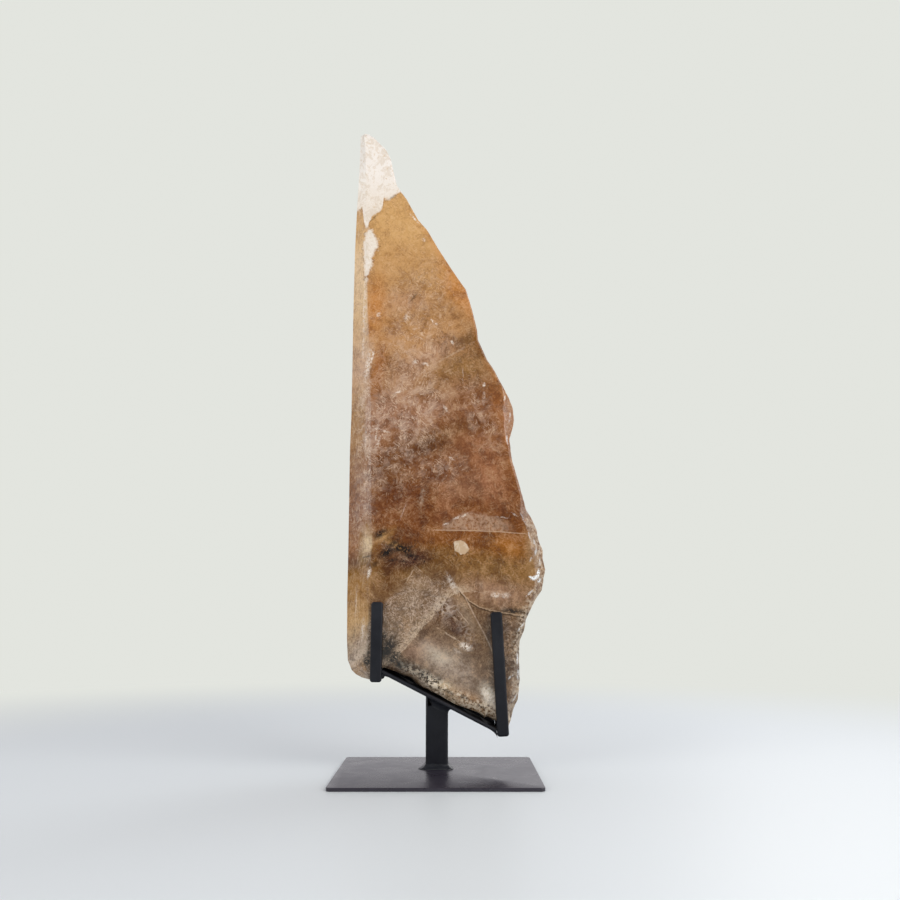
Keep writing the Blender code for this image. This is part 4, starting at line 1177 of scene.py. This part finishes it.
def build_post(material):
    """Square tube: its wall's outer and inner sides are one skin that closes on itself.

    The front wall is slotted beside the left wall; the head weld fills the slot's upper part."""
    base = PLATE_THICKNESS + GAP
    outer = rounded_rectangle(POST_SIZE / 2.0, POST_SIZE / 2.0, POST_CORNER_RADIUS, 7, 20)
    half = POST_SIZE / 2.0 - POST_WALL
    inner = rounded_rectangle(half, half, POST_CORNER_RADIUS / 3.0, 7, 20)
    slot_middle = (FRONT_NOTCH[0][0] + FRONT_NOTCH[1][0]) / 2.0
    slot_half = (FRONT_NOTCH[1][0] - FRONT_NOTCH[0][0]) / 2.0
    skin = []
    sides = ((outer, (0.0, 0.35, 0.7, 1.0), 1.0), (inner, (1.0, 0.6, 0.0), -1.0))
    for outline, shares, drawn in sides:
        top = np.minimum(POST_TOP, shelf_underside(outline[:, 0]) - GAP)
        in_slot = (outline[:, 1] < -half + 0.5) & (np.abs(outline[:, 0] - slot_middle) < slot_half)
        top = np.where(in_slot, FRONT_NOTCH[0][1], top)
        direction = outline / np.linalg.norm(outline, axis=1, keepdims=True)
        for share in shares:
            at_lip = share == 1.0
            ring = outline - direction * (POST_LIP * drawn if at_lip else 0.0)
            if at_lip and drawn > 0:
                skin.append(np.column_stack([outline, top - POST_LIP]))
            skin.append(np.column_stack([ring, base + (top - base) * share]))
            if at_lip and drawn < 0:
                skin.append(np.column_stack([outline, top - POST_LIP]))
    add_skin("tube_post", skin, material, ["post"], closed_path=True)


def arc(middle, radius, start, end, steps=7):
    """Points of an arc in the (y, height) plane, angles in degrees."""
    angle = np.radians(np.linspace(start, end, steps))
    return np.array(middle) + radius * np.column_stack([np.cos(angle), np.sin(angle)])


def bar_profile():
    """Angle bar section as (y, height over the shelf's top)."""
    upstand_back = SLAB_THICKNESS / 2.0 + GAP + BAR_UPSTAND_THICKNESS
    upstand_front = upstand_back - BAR_UPSTAND_THICKNESS
    edge = BAR_EDGE_RADIUS
    fillet = BAR_INNER_RADIUS
    return np.vstack([
        arc((BAR_FRONT + edge, -BAR_THICKNESS + edge), edge, 180, 270),
        arc((upstand_back - edge, -BAR_THICKNESS + edge), edge, 270, 360),
        arc((upstand_back - edge, BAR_UPSTAND_HEIGHT - edge), edge, 0, 90),
        [(upstand_front, BAR_UPSTAND_HEIGHT)],
        arc((upstand_front - fillet, fillet), fillet, 0, -90),
        arc((BAR_FRONT + edge, -edge), edge, 90, 180),
    ])


def prong_side(prong, height, side):
    """Place in x of a prong's side face at a height; side is -1 or 1."""
    (low_x, low_z), (high_x, high_z) = prong
    lean = (high_x - low_x) / (high_z - low_z)
    return low_x + lean * (height - low_z) + side * PRONG_WIDTH / 2.0 * math.hypot(1.0, lean)


def build_cradle_bar(material):
    """The angle section carried down the slope between the two prongs' sides."""
    profile = bar_profile()
    ends = []
    for prong, side in ((LEFT_PRONG, 1), (RIGHT_PRONG, -1)):
        x = prong_side(prong, shelf_top(prong[0][0]) + profile[:, 1], side)
        ends.append(prong_side(prong, shelf_top(x) + profile[:, 1], side) + side * GAP)
    skin = []
    for share in np.linspace(0.0, 1.0, 60):
        x = ends[0] * (1.0 - share) + ends[1] * share
        skin.append(np.column_stack([x, profile[:, 0], shelf_top(x) + profile[:, 1]]))
    add_skin("angle_bar", skin, material, ["cradle_bar"], sharp=50.0)


def build_prong(name, prong, facing, material):
    """Rounded rectangle carried up the prong's line, drawn in over a quarter round at each end.

    Each station is the way travelled and the share of the rounding it is drawn in by."""
    (low_x, low_z), (high_x, high_z) = prong
    length = math.hypot(high_x - low_x, high_z - low_z)
    radius = PRONG_EDGE_RADIUS
    away = facing * (SLAB_THICKNESS / 2.0 + GAP + PRONG_THICKNESS / 2.0)
    quarter = np.radians(np.linspace(0.0, 90.0, 6))
    round_off = PRONG_END_RADIUS
    ends = np.column_stack([round_off * (1.0 - np.cos(quarter)), 1.0 - np.sin(quarter)])
    middle = [(place, 0.0) for place in np.linspace(round_off, length - round_off, 40)[1:-1]]
    stations = ends.tolist() + middle + [(length - rise, drawn) for rise, drawn in ends[::-1]]
    along_x, along_z = (high_x - low_x) / length, (high_z - low_z) / length
    skin = []
    for travelled, share in stations:
        outline = rounded_rectangle(PRONG_WIDTH / 2.0 - round_off * share,
                                    PRONG_THICKNESS / 2.0 - radius * share,
                                    radius * (1.02 - 0.98 * share), 6, 6)
        x = low_x + along_x * travelled + outline[:, 0] * along_z
        z = low_z + along_z * travelled - outline[:, 0] * along_x
        skin.append(np.column_stack([x, away + outline[:, 1], z]))
    add_skin(name + "_bar", skin, material, [name], sharp=50.0)


def build_foot_weld(material):
    """Lumpy bead carried round the post's foot, flaring out at its two front corners."""
    half = POST_SIZE / 2.0 + WELD_GAP
    path = rounded_rectangle(half, half, POST_CORNER_RADIUS + WELD_GAP, 12, 30)
    base = PLATE_THICKNESS + WELD_GAP
    out = path / np.linalg.norm(path, axis=1, keepdims=True)
    lump = smooth_noise(np.column_stack([path, 0.0 * path[:, 0]]) / 3.5)
    width = FOOT_WELD_WIDTH * (1.0 + 0.25 * lump)
    for flare_x, flare_y, extra in FOOT_WELD_FLARES:
        apart = np.hypot(path[:, 0] - flare_x, path[:, 1] - flare_y) / FOOT_WELD_FLARE_REACH
        width = width + extra * np.exp(-apart ** 2)
    height = FOOT_WELD_HEIGHT * (1.0 + 0.2 * lump)
    skin = []
    for reach, rise in FOOT_WELD_SECTION:
        place = path + out * (width * reach)[:, None]
        skin.append(np.column_stack([place, base + height * rise]))
    beads = np.stack(skin)
    blister = 0.3 * smooth_noise(beads / 1.7) * (beads[..., 2] > base + 0.2)
    rises = np.array([rise for reach, rise in FOOT_WELD_SECTION])
    beads[..., 2] += blister * (4.0 * rises * (1.0 - rises))[:, None]
    skin = list(np.swapaxes(beads, 0, 1))
    add_skin("foot_bead", skin, material, ["foot_weld"], closed_path=True, sharp=60.0)


def wedge_bead(name, node, x, y, out_x, out_y, reach, drop, material):
    """Concave wedge under the bar's shelf, carried along a path with its outward directions."""
    sweep = np.linspace(0.0, 1.0, 9)
    section = [(0.0, 0.0), (0.5, 0.0)] + [
        ((1.0 - share) ** 1.7, share ** 1.7) for share in sweep]
    columns = []
    for out, down in section:
        place_x = x + out_x * reach * out
        place_y = y + out_y * reach * out
        columns.append(np.column_stack([
            place_x, place_y, shelf_underside(place_x) - WELD_GAP - drop * down]))
    bead = np.stack(columns, axis=1)
    lumpy = 0.35 * smooth_noise(bead / 1.6)
    middle = np.array([4.0 * out * down for out, down in section])
    bead[..., 2] -= np.abs(lumpy) * middle[None, :]
    add_skin(name, list(bead), material, [node], sharp=60.0)


def build_head_weld(material):
    """Bead along the post's front and round its right corner, its left end sunk in the slot."""
    half = POST_SIZE / 2.0 + WELD_GAP
    radius = POST_CORNER_RADIUS + WELD_GAP
    turn = np.radians(np.linspace(-88.0, -2.0, 12))
    front_x = np.linspace(FRONT_NOTCH[0][0] + 0.1, 7.0, 34)
    sunk = (front_x < FRONT_NOTCH[1][0]) * POST_WALL * 0.95
    side_y = np.linspace(-7.0, 4.0, 24)
    flat = np.zeros_like(front_x)
    x = np.concatenate([front_x, half - radius + radius * np.cos(turn), half + 0.0 * side_y])
    y = np.concatenate([sunk - half, radius - half + radius * np.sin(turn), side_y])
    out_x = np.concatenate([flat, np.cos(turn), np.ones_like(side_y)])
    out_y = np.concatenate([flat - 1.0, np.sin(turn), np.zeros_like(side_y)])
    lump = smooth_noise(np.column_stack([x, y, 0.0 * x]) / 3.0)
    slant = np.interp(x, *np.array(FRONT_NOTCH)[[2, 1]].T)
    in_slot = (x < FRONT_NOTCH[1][0]) & (y < 0.0)
    drop = HEAD_WELD_DROP * (1.0 + 0.15 * lump)
    drop = np.where(in_slot, shelf_underside(x) - WELD_GAP - slant, drop)
    reach = HEAD_WELD_REACH * (1.0 + 0.15 * lump) * np.clip((x + 9.5) / 5.0, 0.3, 1.0)
    reach = np.where(in_slot, reach + POST_WALL, reach)
    wedge_bead("head_bead", "head_weld", x, y, out_x, out_y, reach, drop, material)


def build_prong_weld(name, prong, side, facing, material):
    """Bead in the corner between a prong's inner side and the bar's underside."""
    start, end = PRONG_WELD_PLACE
    y = facing * (SLAB_THICKNESS / 2.0 + np.linspace(start, end, 14))
    corner = prong_side(prong, shelf_underside(prong[0][0]), side) + side * WELD_GAP
    x = corner + 0.0 * y
    swell = 1.0 + 0.12 * smooth_noise(np.column_stack([x, y, 0.0 * y]) / 2.0)
    wedge_bead(name + "_bead", name, x, y, side * np.ones_like(y), np.zeros_like(y),
               PRONG_WELD_REACH * swell, PRONG_WELD_DROP * swell, material)


def build_stand():
    black = iron_material("satin_black_painted_steel", "16181f", "20232a",
                          roughness=0.42, grain=0.9, shine=0.25)
    # The plate is the same black paint as the stand, given a lighter violet base: partly painted
    # sheen, standing in for the wall's reflection at this low angle
    plate = iron_material("satin_black_painted_plate", "2c2933", "33303b",
                          roughness=0.28, grain=1.2, shine=0.5)
    weld = iron_material("painted_weld_bead", "181b21", "2b2e35",
                         roughness=0.34, grain=0.5, shine=0.3)
    build_base_plate(plate)
    build_post(black)
    build_cradle_bar(black)
    build_foot_weld(weld)
    build_head_weld(weld)
    for end, prong, side in (("left", LEFT_PRONG, 1), ("right", RIGHT_PRONG, -1)):
        for place, facing in (("front", -1), ("rear", 1)):
            build_prong(f"{end}_{place}_prong", prong, facing, black)
            build_prong_weld(f"{end}_{place}_weld", prong, side, facing, weld)


# ---------------------------------------------------------------- studio

def build_floor():
    """Pale matt table top, far larger than the view, fading into the backdrop's own colour."""
    material, node = new_material("pale_matt_laminate")
    here = node("object_place")
    tooth = node("noise", here, FLOOR_TOOTH, 2.0)
    gloss = node("range", {
        "Value": tooth, "To Min": FLOOR_ROUGHNESS[0], "To Max": FLOOR_ROUGHNESS[1],
    })
    near = node("BsdfPrincipled", {
        "Base Color": rgba(FLOOR_COLOUR), "Roughness": gloss, "IOR": FLOOR_IOR,
    })
    far = node("Emission", {"Color": rgba(BACKDROP_COLOUR), "Strength": BACKDROP_STRENGTH})
    radius = node("VectorMath", {0: here}, out=1, operation="LENGTH")
    share = node("range", radius, *FLOOR_FADE, interpolation_type="SMOOTHSTEP")
    node("OutputMaterial", {"Surface": node("MixShader", {0: share, 1: near, 2: far})})
    mesh = bpy.data.meshes.new("floor")
    corners = [(FLOOR_REACH * x, FLOOR_REACH * y, 0.0) for x, y in FLOOR_CORNERS]
    mesh.from_pydata(corners, [], [(0, 1, 2, 3)])
    mesh.materials.append(material)
    floor = bpy.data.objects.new("floor", mesh)
    bpy.context.scene.collection.objects.link(floor)


def add_light(name, place, size, power, colour):
    """Square soft light at a place in metres, turned to face the lamps' common target."""
    lamp = bpy.data.lights.new(name, "AREA")
    lamp.size = size
    lamp.energy = power
    lamp.color = linear(colour)
    light = bpy.data.objects.new(name, lamp)
    light.location = place
    toward = np.array(LAMP_TARGET) - np.array(place)
    flat = math.hypot(toward[0], toward[1])
    light.rotation_euler = (math.atan2(flat, -toward[2]), 0.0, math.atan2(-toward[0], toward[1]))
    bpy.context.scene.collection.objects.link(light)


def build_studio():
    build_floor()
    world = bpy.data.worlds.new("studio")
    world.use_nodes = True
    background = world.node_tree.nodes["Background"]
    node = partial(add, world.node_tree)
    direction = node("TexCoord", out="Generated")
    direction = node("SeparateXYZ", {"Vector": direction}, out="Y")
    room = node("range", {
        "Value": direction, "From Min": ROOM_TURN[0], "From Max": ROOM_TURN[1],
        "To Min": ROOM_STRENGTH, "To Max": BACKDROP_STRENGTH,
    })
    seen = node("LightPath", out="Is Camera Ray")
    strength = node("Mix", {0: seen, 2: room, 3: BACKDROP_STRENGTH})
    colour = node("blend", seen, rgba(ROOM_COLOUR), rgba(BACKDROP_COLOUR))
    world.node_tree.links.new(strength, background.inputs["Strength"])
    world.node_tree.links.new(colour, background.inputs["Color"])
    bpy.context.scene.world = world
    for lamp in LAMPS:
        add_light(*lamp)
    camera = bpy.data.cameras.new("camera")
    camera.sensor_width = 36.0
    camera.lens = CAMERA_LENS
    camera.clip_start = 0.02
    viewer = bpy.data.objects.new("camera", camera)
    viewer.location = [value * MM for value in CAMERA_PLACE]
    viewer.rotation_euler = (math.radians(90.0 + CAMERA_PITCH), 0.0, 0.0)
    bpy.context.scene.collection.objects.link(viewer)
    bpy.context.scene.camera = viewer
    bpy.context.scene.view_settings.view_transform = "Standard"


build_slab()
build_stand()
build_studio()
